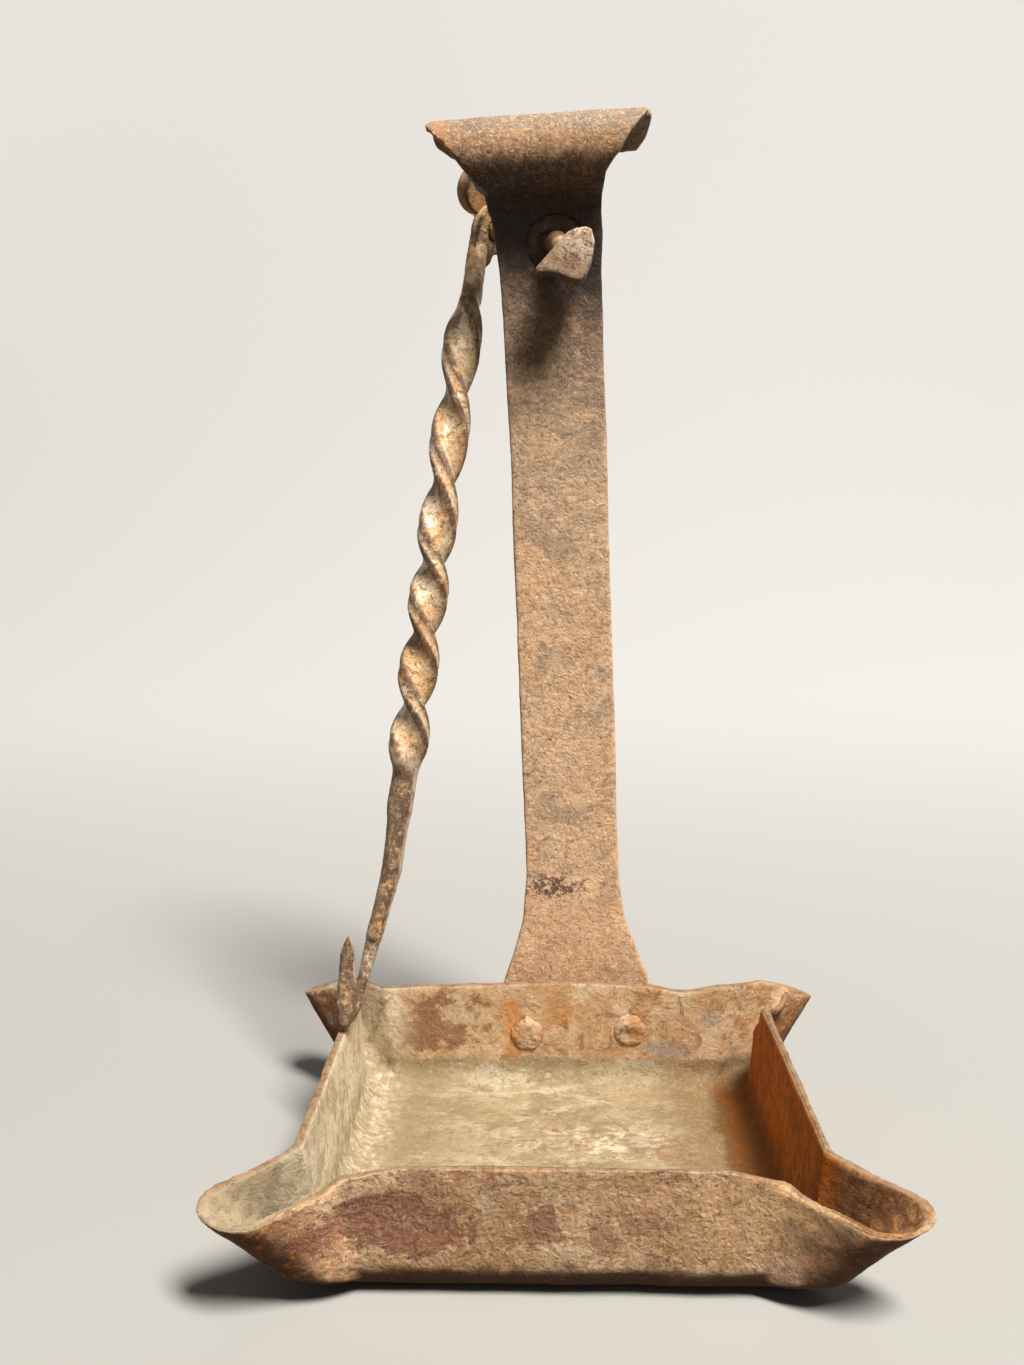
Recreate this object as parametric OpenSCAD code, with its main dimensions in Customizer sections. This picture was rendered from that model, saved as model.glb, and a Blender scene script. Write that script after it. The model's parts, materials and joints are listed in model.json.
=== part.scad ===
// Open iron grease lamp: a four-spouted tray, a riveted back arm and a hinged hanger.
// All sizes are in millimetres. Z is up, the front of the tray faces -Y.
// The origin is the centre of the tray's flat underside.

/* [Tray] */
// half the width of the tray across the top of its side walls
tray_half_x = 53; // [40:0.5:70]
// half the depth of the tray across the top of its front and back walls
tray_half_y = 49; // [38:0.5:68]
// height of the rim above the underside
tray_h = 28; // [20:0.5:40]
// thickness of the tray's sheet
tray_t = 1.8; // [1.2:0.1:3]
// outward lean of the walls, degrees
wall_lean = 5; // [0:0.5:12]
// outer radius of the rounded bottom edges
edge_r = 8; // [4:0.5:12]

/* [Spouts] */
// distance from the centre to a front spout's tip, across
front_tip_x = 67; // [55:0.5:85]
// distance from the centre to a front spout's tip, forward
front_tip_y = 56; // [48:0.5:80]
// height of the front tips
front_tip_z = 21.5; // [16:0.5:28]
// outer radius of the front spouts' channels
front_spout_r = 7; // [4:0.5:10]
// distance from the centre to a back spout's tip, across
back_tip_x = 67; // [55:0.5:85]
// distance from the centre to a back spout's tip, back
back_tip_y = 56; // [48:0.5:80]
// height of the back tips
back_tip_z = 24; // [16:0.5:28]
// outer radius of the back spouts' channels
back_spout_r = 6; // [4:0.5:10]
// direction of the spouts, degrees from the X axis
spout_turn = 33; // [25:1:50]
// slope of the spouts' undersides near the tips, degrees
spout_slope = 48; // [30:1:65]
// slope of the spouts' undersides beside the flat floor, degrees
foot_rise = 22; // [10:1:35]
// slope of the rim down to the tips, degrees
lip_slope = 19; // [5:1:35]
// radius of the dip in the front rim at the front spouts
dip_r = 50; // [30:1:80]
// rise of that dip towards the back, degrees
dip_tilt = 20; // [0:1:40]

/* [Back arm] */
// thickness of the strap
arm_t = 2.8; // [2:0.1:5]
// width of the strap
arm_w = 24.4; // [15:0.2:40]
// where the strap's centre line meets the table plane, across
arm_x = 6.2; // [-10:0.1:20]
// sideways lean of the strap, degrees to the left
arm_lean = 2.14; // [0:0.1:5]
// height of the bend above the foot
arm_bend_z = 57; // [45:1:80]
// height of the foot's lower end
foot_low_z = 8; // [7:0.5:14]
// width of the foot
foot_w = 40; // [28:0.5:50]
// height where the foot's sides start to draw in
foot_flare_z = 27; // [20:1:40]
// height where the strap's flat length ends and the forward bend starts
arm_top_z = 226; // [180:1:260]

/* [Rolled top] */
// middle radius of the forward bend
neck_r = 5; // [3:0.5:8]
// middle radius of the roll
roll_r = 7.7; // [5:0.1:12]
// thickness of the roll's sheet
roll_t = 2.4; // [1.5:0.1:4]
// how far the roll reaches to the left at the crest
roll_left = 29.7; // [20:0.1:45]
// how far the roll reaches to the right at the crest
roll_right = 24; // [15:0.1:45]
// how far the roll's back edge reaches to the left
flap_left = 23.7; // [15:0.1:45]
// how far the roll's back edge reaches to the right
flap_right = 21.9; // [10:0.1:45]
// height of the roll's back edge above the middle of the roll
flap_rise = 1.5; // [-6:0.5:6]
// sideways tilt of the roll, degrees
roll_tilt = 3.4; // [0:0.2:8]

/* [Rivets] */
// distance of a rivet's middle from the foot's side
rivet_inset = 6.5; // [5:0.5:12]
// height of the rivets
rivet_z = 16; // [12:0.5:20]
// diameter of a rivet's shank
rivet_d = 4.6; // [3:0.1:6]
// radius of the rivet's head inside the tray
rivet_head_r = 4.6; // [3:0.1:6]
// height of the rivet's head inside the tray
rivet_head_h = 1.9; // [1:0.1:3]

/* [Swivel pin] */
// diameter of the pin
pin_d = 5.4; // [4:0.1:8]
// distance of the pin's axis below the forward bend
pin_drop = 8.2; // [6:0.1:40]
// sideways place of the pin's axis
pin_x = -0.6; // [-5:0.1:5]
// diameter of the hole in the strap
arm_hole_d = 15; // [8:0.1:16]
// turn of the pin's journal to the left, degrees from straight back
journal_turn = 40.6; // [0:0.1:60]
// rise of the pin's journal, degrees
journal_rise = 17.6; // [0:0.1:30]
// length from the bend to the middle of the eye
journal_len = 26.3; // [16:0.1:34]
// depth of the three-cornered head
head_depth = 7; // [4:0.5:10]
// gap between the strap and the three-cornered head
head_gap = 6; // [3:0.5:12]
// distance of the pin's neck above the middle of the head
head_drop = 4.2; // [2:0.1:8]
// length of the straight neck in front of the strap's middle
neck_len = 3.6; // [2:0.1:8]
// radius of the shoulder that closes the hole behind the strap
shoulder_r = 9.2; // [8.4:0.1:11]
// thickness of that shoulder
shoulder_t = 1.8; // [1:0.1:3]
// gap between the shoulder and the strap
shoulder_gap = 0.3; // [0.1:0.05:1]
// radius of the lobe at the pin's back end
lobe_r = 6.6; // [4:0.1:9]
// distance of the lobe's middle from the pin's journal
lobe_reach = 9.4; // [6:0.1:14]
// turn of the lobe around the journal, degrees
lobe_turn = 20; // [0:1:60]
// thickness of the lobe
lobe_t = 4.6; // [3:0.1:7]

/* [Hanger] */
// outer radius of the eye
eye_r = 6.4; // [5.6:0.1:12]
// thickness of the eye
eye_t = 3.2; // [2.4:0.1:6]
// radial clearance of the pin in the eye
eye_gap = 0.08; // [0.02:0.01:0.1]
// sideways step from the eye's middle to the bar's axis
bar_step = 4.4; // [0:0.1:6]
// sideways lean of the bar, degrees
bar_side = 6.9; // [0:0.1:15]
// forward lean of the bar, degrees
bar_front = 15.6; // [0:0.1:20]
// distance along the bar to the start of the twist
twist_start = 20.1; // [12:0.1:40]
// width of the twisted bar
bar_w = 9.6; // [6:0.1:14]
// thickness of the twisted bar
bar_t = 5; // [3:0.1:8]
// length of one half turn in the upper part of the twist
upper_pitch = 24.2; // [12:0.1:35]
// number of half turns in the upper part
upper_turns = 2.5; // [1:0.5:6]
// length of one half turn in the lower part of the twist
lower_pitch = 18.3; // [12:0.1:35]
// number of half turns in the lower part
lower_turns = 3.5; // [1:0.5:6]
// radius of the bar at the start of its taper
taper_r = 3.1; // [2:0.1:5]
// radius of the bar at the hook
taper_end_r = 2; // [1:0.1:4]
// distance along the bar to the kink above the hook
kink = 168; // [150:0.5:200]
// gap between the resting hook and the tray's rim
hook_gap = 0.3; // [0.1:0.1:2]
// sideways place of the hook's bottom
hook_x = -51.3; // [-60:0.1:-40]
// place of the hook's bottom from front to back
hook_y = 16.5; // [-10:0.1:50]
// length of the hook's prong
prong_h = 22; // [15:0.5:40]
// thickness of the hook's blade
hook_t = 3; // [2:0.1:5]
// distance of the lower shank's end from the hook's bottom, upward
shank_join = 21; // [14:0.5:24]
// distance of the lower shank's end from the hook's bottom, sideways
shank_side = 6.4; // [4:0.1:9]

/* [Hidden] */
$fn = 96;
eps = 0.01;
big = 200;
wall_pull = tan(wall_lean);
floor_x = tray_half_x - tray_h * wall_pull - edge_r;
floor_y = tray_half_y - tray_h * wall_pull - edge_r;
arm_y = tray_half_y + (arm_bend_z - tray_h) * wall_pull;
arm_mid_y = arm_y + arm_t / 2;
roll_y = arm_mid_y - neck_r;
roll_z = arm_top_z + neck_r + roll_r;
flap_z = roll_z + flap_rise;
hole_r = arm_hole_d / 2;
neck_y = arm_mid_y - neck_len;
head_y = arm_y - head_gap;
pin_z = arm_top_z - pin_drop;
rivet_gap = foot_w - 2 * rivet_inset;
blank = roll_left + roll_right + 40;
reach = 2 * (roll_r + neck_r);
journal_z = journal_len * sin(journal_rise);
journal_flat = journal_len * cos(journal_rise);
eye_x = pin_x - journal_flat * sin(journal_turn);
eye_y = arm_mid_y + journal_flat * cos(journal_turn);
eye_z = pin_z + journal_z;
bar_top_x = eye_x - bar_step;
upper_len = upper_pitch * upper_turns;
lower_len = lower_pitch * lower_turns;
taper_start = twist_start + upper_len + lower_len;
hook_z = tray_h + hook_gap + hook_t / 2 * sin(bar_front);
kink_x = bar_top_x - kink * cos(bar_front) * sin(bar_side);
kink_y = eye_y - kink * sin(bar_front);
kink_z = eye_z - kink * cos(bar_front) * cos(bar_side);
iron = [0.42, 0.30, 0.22];
pale_iron = [0.55, 0.42, 0.30];
dark_iron = [0.33, 0.25, 0.20];

// round tapered rod from point a to point b
module rod(a, b, r1, r2) {
  v = b - a;
  translate(a)
    rotate([0, acos(v.z / norm(v)), atan2(v.y, v.x)])
      cylinder(h = norm(v), r1 = r1, r2 = r2);
}

// half width of the leaning wall's round corner centre, for one half size, height and radius
function corner_at(half, low, r) = half - (r + (tray_h - low - r) * sin(wall_lean)) / cos(wall_lean);

// flat profile of a tray across one direction, from height low up past the rim
module tray_profile(half, low, r) {
  c = corner_at(half, low, r);
  top = tray_h + 6;
  wide = half + (top - tray_h) * wall_pull;
  for (side = [-1, 1]) {
    translate([side * c, low + r])
      circle(r);
  }
  polygon([
    [-c, low], [c, low],
    [c + r * cos(wall_lean), low + r - r * sin(wall_lean)],
    [wide, top], [-wide, top],
    [-c - r * cos(wall_lean), low + r - r * sin(wall_lean)]
  ]);
}

// solid block with leaning walls and round bottom edges
module tray_block(half_x, half_y, low, r) {
  intersection() {
    rotate([90, 0, 0])
      linear_extrude(big, center = true)
        tray_profile(half_x, low, r);
    rotate([90, 0, 90])
      linear_extrude(big, center = true)
        tray_profile(half_y, low, r);
  }
}

// round-bottomed channel that rises to a tip, for the corner at +X and +Y
module channel(tip_x, tip_y, tip_z, r, wall, low) {
  intersection() {
    translate([tip_x, tip_y, tip_z])
      rotate([0, 0, spout_turn])
        rotate([0, 90 - spout_slope, 0])
          translate([-r, 0, -34])
            rotate([0, 0, 90])
              linear_extrude(60)
                union() {
                  circle(r - wall);
                  translate([-(r - wall), 0])
                    square([2 * (r - wall), 30]);
                }
    translate([0, 0, low])
      cube([big, big, big]);
    translate([floor_x, floor_y, low / cos(foot_rise)])
      cylinder(h = 60, r1 = 0.2, r2 = 60 / tan(foot_rise));
  }
}

// block above the sloping lip of one back spout
module lip_cut(tip_x, tip_y, tip_z) {
  translate([tip_x, tip_y, tip_z])
    rotate([0, 0, spout_turn])
      rotate([0, lip_slope, 0])
        translate([-30, -30, 0])
          cube([60, 60, 30]);
}

// dip that lowers the front rim where it turns into a front spout
module front_dip() {
  translate([front_tip_x - 5, -front_tip_y - 4, front_tip_z - 2.2])
    rotate([dip_tilt, 0, 0])
      translate([0, 0, dip_r])
        rotate([90, 0, 0])
          cylinder(h = 70, r = dip_r, center = true, $fn = 160);
}

module tray_solid(wall) {
  tray_block(tray_half_x - wall / cos(wall_lean), tray_half_y - wall / cos(wall_lean), wall, edge_r - wall);
  for (side = [0, 1]) {
    mirror([side, 0, 0]) {
      channel(back_tip_x, back_tip_y, back_tip_z, back_spout_r, wall, wall);
      mirror([0, 1, 0])
        channel(front_tip_x, front_tip_y, front_tip_z, front_spout_r, wall, wall);
    }
  }
}

// place and turn onto the outside of the tray's back wall, with the strap's sideways lean
module on_back_wall() {
  translate([arm_x, tray_half_y - tray_h * wall_pull, 0])
    rotate([-wall_lean, 0, 0])
      rotate([0, -arm_lean, 0])
        children();
}

// place in the upright part of the strap, with the same sideways lean
module in_arm() {
  translate([arm_x, arm_y, 0])
    rotate([0, -arm_lean, 0])
      children();
}

// bores for the two rivets
module rivet_bores() {
  for (side = [-1, 1]) {
    on_back_wall()
      translate([side * rivet_gap / 2, 0, rivet_z])
        rotate([90, 0, 0])
          cylinder(h = 16, d = rivet_d, center = true);
  }
}

module pan() {
  color(iron)
    difference() {
      tray_solid(0);
      tray_solid(tray_t);
      translate([0, 0, tray_h + 25])
        cube([big, big, 50], center = true);
      for (side = [0, 1]) {
        mirror([side, 0, 0]) {
          lip_cut(back_tip_x, back_tip_y, back_tip_z);
          front_dip();
        }
      }
      rivet_bores();
    }
}

// outline of the flared foot and the strap with its wider top, seen from the front
module strap_outline() {
  polygon([
    [-foot_w / 2 + 2.5, foot_low_z], [foot_w / 2 - 2.5, foot_low_z],
    [foot_w / 2, foot_low_z + 2.5], [foot_w / 2, foot_flare_z],
    [foot_w * 0.415, foot_flare_z + 9], [foot_w * 0.34, foot_flare_z + 18],
    [arm_w / 2, foot_flare_z + 30], [arm_w / 2, arm_top_z - 14],
    [arm_w / 2 + 0.6, arm_top_z - 6], [arm_w / 2 + 0.4, arm_top_z + eps],
    [-arm_w / 2 - 2.7, arm_top_z + eps], [-arm_w / 2 - 1.8, arm_top_z - 7],
    [-arm_w / 2 - 1, arm_top_z - 15], [-arm_w / 2 - 0.6, arm_top_z - 26],
    [-arm_w / 2, arm_top_z - 60], [-arm_w / 2, foot_flare_z + 30],
    [-foot_w * 0.34, foot_flare_z + 18], [-foot_w * 0.415, foot_flare_z + 9],
    [-foot_w / 2, foot_flare_z], [-foot_w / 2, foot_low_z + 2.5]
  ]);
}

module plate_in_front(t) {
  translate([0, t, 0])
    rotate([90, 0, 0])
      linear_extrude(t)
        children();
}

// ring of sheet around an axis along X
module sheet_ring(r, t) {
  rotate([0, 90, 0])
    difference() {
      cylinder(h = blank, r = r + t / 2, center = true);
      cylinder(h = blank + 1, r = r - t / 2, center = true);
    }
}

// slanted front outline of the fan-shaped top
module fan_outline() {
  polygon([
    [-arm_w / 2 - 2.8, arm_top_z - 2], [arm_w / 2 + 0.4, arm_top_z - 2],
    [arm_w / 2 + 0.7, arm_top_z + 3], [arm_w / 2 + 1.5, roll_z - 5.7],
    [arm_w / 2 + 5.2, roll_z - 1.7], [roll_right - 4.9, roll_z + 1.4],
    [roll_right - 0.3, roll_z + 7], [roll_right + 0.8, roll_z + 9.5],
    [roll_right + 0.8, roll_z + 12], [-roll_left + 2.6, roll_z + 12],
    [-roll_left + 2.6, roll_z + 9.5], [-roll_left, roll_z + 6.3],
    [-roll_left + 2.4, roll_z + 3], [-roll_left + 4.5, roll_z + 1],
    [-arm_w / 2 - 8.6, roll_z - 4.5], [-arm_w / 2 - 5.9, roll_z - 7.5],
    [-arm_w / 2 - 3.9, roll_z - 8.6]
  ]);
}

// outline of the part of the roll that goes down behind
module flap_outline() {
  polygon([
    [-flap_left, flap_z], [flap_right, flap_z],
    [flap_right + 2.4, flap_z + 2.9], [roll_right + 1.4, roll_z + 7.5],
    [roll_right + 1.4, roll_z + 14], [-roll_left + 2.6, roll_z + 14],
    [-roll_left + 2.6, roll_z + 9.5], [-roll_left + 1.4, flap_z + 4.3],
    [-flap_left - 3.9, flap_z + 2.6]
  ]);
}

// slab as deep as the roll, cut to an outline that is drawn from the front
module cut_from_front() {
  translate([0, roll_y + reach, 0])
    rotate([90, 0, 0])
      linear_extrude(2 * reach)
        children();
}

module rolled_top() {
  // forward bend between the strap and the roll
  intersection() {
    translate([0, roll_y, arm_top_z])
      sheet_ring(neck_r, roll_t);
    translate([-blank / 2, roll_y, arm_top_z])
      cube([blank, reach, reach]);
    cut_from_front()
      fan_outline();
  }
  // front half of the roll
  intersection() {
    translate([0, roll_y, roll_z])
      rotate([0, arm_lean - roll_tilt, 0])
        sheet_ring(roll_r, roll_t);
    translate([-blank / 2, roll_y - reach + eps, arm_top_z - neck_r])
      cube([blank, reach, 3 * reach]);
    cut_from_front()
      fan_outline();
  }
  // back quarter of the roll
  intersection() {
    translate([0, roll_y, roll_z])
      rotate([0, arm_lean - roll_tilt, 0])
        sheet_ring(roll_r, roll_t);
    translate([-blank / 2, roll_y, flap_z - 2])
      cube([blank, reach, 2 * reach]);
    cut_from_front()
      flap_outline();
  }
}

module back_arm() {
  color(pale_iron)
    difference() {
      union() {
        // foot and lower strap against the tray's back wall
        intersection() {
          on_back_wall()
            plate_in_front(arm_t)
              strap_outline();
          translate([-big / 2, 0, 0])
            cube([big, big, arm_bend_z + 0.2]);
        }
        // upright strap
        intersection() {
          in_arm()
            plate_in_front(arm_t)
              strap_outline();
          translate([-big / 2, 0, arm_bend_z - 0.2])
            cube([big, big, big]);
        }
        in_arm()
          translate([0, -arm_y, 0])
            rolled_top();
      }
      rivet_bores();
      translate([pin_x, arm_mid_y, pin_z])
        rotate([90, 0, 0])
          cylinder(h = 3 * arm_t, r = hole_r, center = true);
    }
}

// low round cap of a ball, standing on z = 0
module cap_of_ball(r, h) {
  ball_r = (r * r + h * h) / (2 * h);
  intersection() {
    translate([0, 0, h - ball_r])
      sphere(ball_r);
    cylinder(h = h + 1, r = r + 1);
  }
}

module rivet(side) {
  on_back_wall()
    translate([side * rivet_gap / 2, 0, rivet_z])
      rotate([90, 0, 0]) {
        translate([0, 0, -arm_t])
          cylinder(h = arm_t + tray_t, d = rivet_d);
        translate([0, 0, tray_t])
          cap_of_ball(rivet_head_r, rivet_head_h);
        translate([0, 0, -arm_t])
          mirror([0, 0, 1])
            cap_of_ball(rivet_head_r - 0.6, rivet_head_h - 0.4);
      }
}

module rivet_left() {
  color(dark_iron)
    rivet(-1);
}

module rivet_right() {
  color(dark_iron)
    rivet(1);
}

// place on the pin's bend with local Z along the pin's journal
module along_journal() {
  translate([pin_x, arm_mid_y, pin_z])
    rotate([0, 0, journal_turn])
      rotate([journal_rise - 90, 0, 0])
        children();
}

module swivel_pin() {
  color(dark_iron) {
    // neck through the strap's hole
    rod([pin_x, arm_mid_y, pin_z], [pin_x, neck_y, pin_z], pin_d / 2, pin_d / 2);
    translate([pin_x, neck_y, pin_z])
      sphere(d = pin_d + 0.2);
    rod(
      [pin_x, neck_y, pin_z],
      [pin_x + pin_d / 2, head_y - head_depth / 2, pin_z - head_drop],
      pin_d / 2, pin_d / 2 + 0.3
    );
    translate([pin_x, arm_mid_y, pin_z])
      sphere(d = pin_d + 0.6);
    // three-cornered head in front of the strap
    translate([0, head_y, 0])
      rotate([90, 0, 0])
        linear_extrude(head_depth)
          polygon([
            [pin_x + 2.3, pin_z + 0.3], [pin_x + 4, pin_z + 1.2],
            [pin_x + 6.6, pin_z + 1.6], [pin_x + 8.1, pin_z + 1.1],
            [pin_x + 8.9, pin_z - 1.8], [pin_x + 8.3, pin_z - 5.9],
            [pin_x + 7, pin_z - 9.4], [pin_x + 5.8, pin_z - 11],
            [pin_x + 4.6, pin_z - 11.1], [pin_x - 1.4, pin_z - 9],
            [pin_x - 5, pin_z - 9], [pin_x - 5.3, pin_z - 8],
            [pin_x - 1.5, pin_z - 3.8]
          ]);
    // shoulder behind the strap, wider than its hole
    translate([pin_x, arm_y + arm_t + shoulder_gap + shoulder_t, pin_z])
      rotate([90, 0, 0])
        cylinder(h = shoulder_t, r = shoulder_r);
    // journal that carries the eye
    along_journal()
      cylinder(h = journal_len + eye_t / 2 + 1, d = pin_d);
    // turned-up lobe behind the eye
    along_journal()
      translate([0, 0, journal_len + eye_t / 2 + 0.4])
        rotate([0, 0, 180 - lobe_turn]) {
          cylinder(h = lobe_t - 1, d = pin_d + 0.6);
          translate([-pin_d / 2 + 0.2, 0, 0.3])
            cube([pin_d - 0.4, lobe_reach, lobe_t - 1.6]);
          translate([0, lobe_reach, lobe_t / 2])
            intersection() {
              sphere(lobe_r);
              cube([20, 20, lobe_t], center = true);
            }
        }
  }
}

// place on the hanger's bar with local Z pointing down along it
module along_bar() {
  translate([bar_top_x, eye_y, eye_z])
    rotate([0, bar_side, 0])
      rotate([-bar_front, 0, 0])
        rotate([180, 0, 0])
          children();
}

// a bar with a rectangular section and small chamfers
module bar_section(w, t, c) {
  polygon([
    [-w / 2 + c, -t / 2], [w / 2 - c, -t / 2], [w / 2, -t / 2 + c], [w / 2, t / 2 - c],
    [w / 2 - c, t / 2], [-w / 2 + c, t / 2], [-w / 2, t / 2 - c], [-w / 2, -t / 2 + c]
  ]);
}

// one length of the twisted bar, starting after the given number of half turns
module twisted(start, pitch, turns, turned) {
  along_bar()
    translate([0, 0, start])
      rotate([0, 0, 90 - 180 * turned])
        linear_extrude(pitch * turns, twist = 180 * turns, slices = 14 * turns, $fn = 16)
          bar_section(bar_w, bar_t, 0.9);
}

module hanger() {
  color(pale_iron)
    difference() {
      union() {
        // eye
        along_journal()
          translate([0, 0, journal_len])
            cylinder(h = eye_t, r = eye_r, center = true);
        // flat web between the eye and the bar
        along_journal()
          translate([0, 0, journal_len - eye_t / 2])
            linear_extrude(eye_t)
              polygon([
                [-eye_r, 0], [0, 0], [0, eye_r], [-0.3, eye_r + 2.1],
                [-1.5, eye_r + 3.4], [-6.3, eye_r + 5.4], [-6.4, eye_r + 1.2]
              ]);
        // neck of the bar
        along_bar()
          translate([0.8, 0, 5])
            cylinder(h = twist_start - 4, r1 = 2.3, r2 = 3.2);
        twisted(twist_start, upper_pitch, upper_turns, 0);
        twisted(twist_start + upper_len, lower_pitch, lower_turns, upper_turns);
        // taper down to the kink
        along_bar()
          translate([0, 0, taper_start - 3])
            cylinder(h = kink - taper_start + 3, r1 = taper_r, r2 = taper_r - 0.5);
        // lower shank from the kink to the hook
        translate([kink_x, kink_y, kink_z])
          sphere(taper_r - 0.4);
        rod(
          [kink_x, kink_y, kink_z],
          [hook_x + shank_side, hook_y + shank_join * sin(bar_front), hook_z + shank_join * cos(bar_front)],
          taper_r - 0.5, taper_end_r
        );
        // hook blade with its prong
        translate([hook_x, hook_y, hook_z])
          rotate([90 - bar_front, 0, 0])
            linear_extrude(hook_t, center = true)
              polygon([
                [0.2, prong_h], [-1.3, prong_h - 3.2], [-1.9, 10.4], [-2, 4.4], [-1.4, 0.9], [0, 0],
                [2.4, 2.1], [4.1, 5.7], [5.6, 12], [8.6, 22.5], [5, 22.9], [2.9, 12],
                [2.3, 10], [1.5, prong_h - 2]
              ]);
      }
      along_journal()
        cylinder(h = 2 * journal_len, d = pin_d + 2 * eye_gap);
    }
}

pan();
back_arm();
rivet_left();
rivet_right();
swivel_pin();
hanger();
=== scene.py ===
"""Old open grease lamp of forged iron: the looks of its parts, around the CAD model.

Every piece starts as a merged copy of its CAD node. It is remeshed, worn and dented like forged iron,
and gets a rust finish made of nodes, into which some shade, shadow and highlights are painted. Sizes are in metres,
colours are written as they look on a screen.
"""

import json
import math

import bpy
import numpy as np
from mathutils import Euler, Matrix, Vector

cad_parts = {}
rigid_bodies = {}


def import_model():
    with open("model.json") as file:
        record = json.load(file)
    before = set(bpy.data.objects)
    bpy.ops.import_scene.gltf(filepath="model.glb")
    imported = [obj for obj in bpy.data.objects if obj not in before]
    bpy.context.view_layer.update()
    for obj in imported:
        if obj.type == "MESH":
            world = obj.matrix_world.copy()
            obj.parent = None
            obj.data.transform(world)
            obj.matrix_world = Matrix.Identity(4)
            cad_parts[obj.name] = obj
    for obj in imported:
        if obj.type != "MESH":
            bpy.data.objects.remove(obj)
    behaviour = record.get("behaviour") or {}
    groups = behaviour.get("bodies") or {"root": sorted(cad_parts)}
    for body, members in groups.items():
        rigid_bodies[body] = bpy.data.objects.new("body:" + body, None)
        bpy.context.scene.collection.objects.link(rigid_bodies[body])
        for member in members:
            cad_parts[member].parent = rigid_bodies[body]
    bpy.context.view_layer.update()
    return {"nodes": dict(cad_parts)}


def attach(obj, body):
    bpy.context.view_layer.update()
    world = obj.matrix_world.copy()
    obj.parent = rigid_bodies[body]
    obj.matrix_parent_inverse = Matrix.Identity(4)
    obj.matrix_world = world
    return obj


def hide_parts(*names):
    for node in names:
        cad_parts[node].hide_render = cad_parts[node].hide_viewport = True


bl_info = {
    "name": "Forged grease lamp",
    "version": (1, 0, 0),
    "blender": (4, 5, 0),
    "location": "View3D > Sidebar > Lamp",
    "description": "Builds an old forged iron grease lamp around its CAD model",
    "category": "Add Mesh",
}

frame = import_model()
MM = 0.001

# The photograph's frame and the camera that was fitted to it
FRAME_H_PX = 1365
FOCAL_PX = 1300
SENSOR = 36.0
EYE = Vector((-3.84, -282.0, 151.9)) * MM
EYE_DOWN = 0.130
EYE_LEFT = 0.024
EYE_ROLL = 0.001


def seen(red, green, blue):
    """A colour as it looks on a screen, from 0 to 255, as Blender's own linear colour."""
    def linear(value):
        value = value / 255
        return value / 12.92 if value <= 0.04045 else ((value + 0.055) / 1.055) ** 2.4

    return (linear(red), linear(green), linear(blue), 1.0)


# Helpers for the pieces

def only(piece):
    """Selects one object and nothing else."""
    bpy.ops.object.select_all(action="DESELECT")
    piece.select_set(True)
    bpy.context.view_layer.objects.active = piece


def apply_modifier(piece, kind, **values):
    """Adds one modifier with its values and applies it."""
    modifier = piece.modifiers.new(kind.lower(), kind)
    for key, value in values.items():
        setattr(modifier, key, value)
    only(piece)
    bpy.ops.object.modifier_apply(modifier=modifier.name)


def forged_copy(node, name, grain, rounds, most=190000):
    """A merged copy of a CAD node, remeshed evenly, softened, and thinned to at most so many triangles."""
    only(frame["nodes"][node])
    bpy.ops.object.duplicate()
    piece = bpy.context.active_object
    piece.name = name
    bpy.ops.object.parent_clear(type="CLEAR_KEEP_TRANSFORM")
    for key in list(piece.keys()):
        del piece[key]
    piece.data.materials.clear()
    bpy.ops.object.mode_set(mode="EDIT")
    bpy.ops.mesh.select_all(action="SELECT")
    bpy.ops.mesh.remove_doubles(threshold=0.002 * MM)
    bpy.ops.object.mode_set(mode="OBJECT")
    apply_modifier(piece, "REMESH", mode="VOXEL", voxel_size=grain, use_smooth_shade=True)
    apply_modifier(piece, "SMOOTH", factor=0.5, iterations=rounds)
    triangles = 2 * len(piece.data.polygons)
    if triangles > most:
        apply_modifier(piece, "DECIMATE", ratio=most / triangles)
    return piece


def dent(piece, size, depth, kind="CLOUDS"):
    """Raises and sinks the surface by up to depth, in dents about as wide as size."""
    texture = bpy.data.textures.new(f"{piece.name}_dents", kind)
    texture.noise_scale = size
    apply_modifier(
        piece, "DISPLACE", texture=texture, texture_coords="LOCAL", strength=2 * depth, mid_level=0.5
    )


def pull(piece, spot, move, reach):
    """Moves the surface at spot, and less of it the further away, as with proportional editing."""
    near = min(piece.data.vertices, key=lambda v: (v.co - spot).length_squared).index
    only(piece)
    bpy.ops.object.mode_set(mode="EDIT")
    bpy.ops.mesh.select_all(action="DESELECT")
    bpy.ops.object.mode_set(mode="OBJECT")
    piece.data.vertices[near].select = True
    bpy.ops.object.mode_set(mode="EDIT")
    bpy.ops.transform.translate(
        value=move,
        use_proportional_edit=True,
        proportional_edit_falloff="SMOOTH",
        proportional_size=reach,
    )
    bpy.ops.object.mode_set(mode="OBJECT")


def swell(piece, spot, share, reach):
    """Widens the surface around spot, and less of it the further away, as with proportional editing."""
    near = min(piece.data.vertices, key=lambda v: (v.co - spot).length_squared).index
    only(piece)
    bpy.ops.object.mode_set(mode="EDIT")
    bpy.ops.mesh.select_all(action="DESELECT")
    bpy.ops.object.mode_set(mode="OBJECT")
    piece.data.vertices[near].select = True
    bpy.ops.object.mode_set(mode="EDIT")
    bpy.ops.transform.resize(
        value=share,
        center_override=spot,
        use_proportional_edit=True,
        proportional_edit_falloff="SMOOTH",
        proportional_size=reach,
    )
    bpy.ops.object.mode_set(mode="OBJECT")


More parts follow.
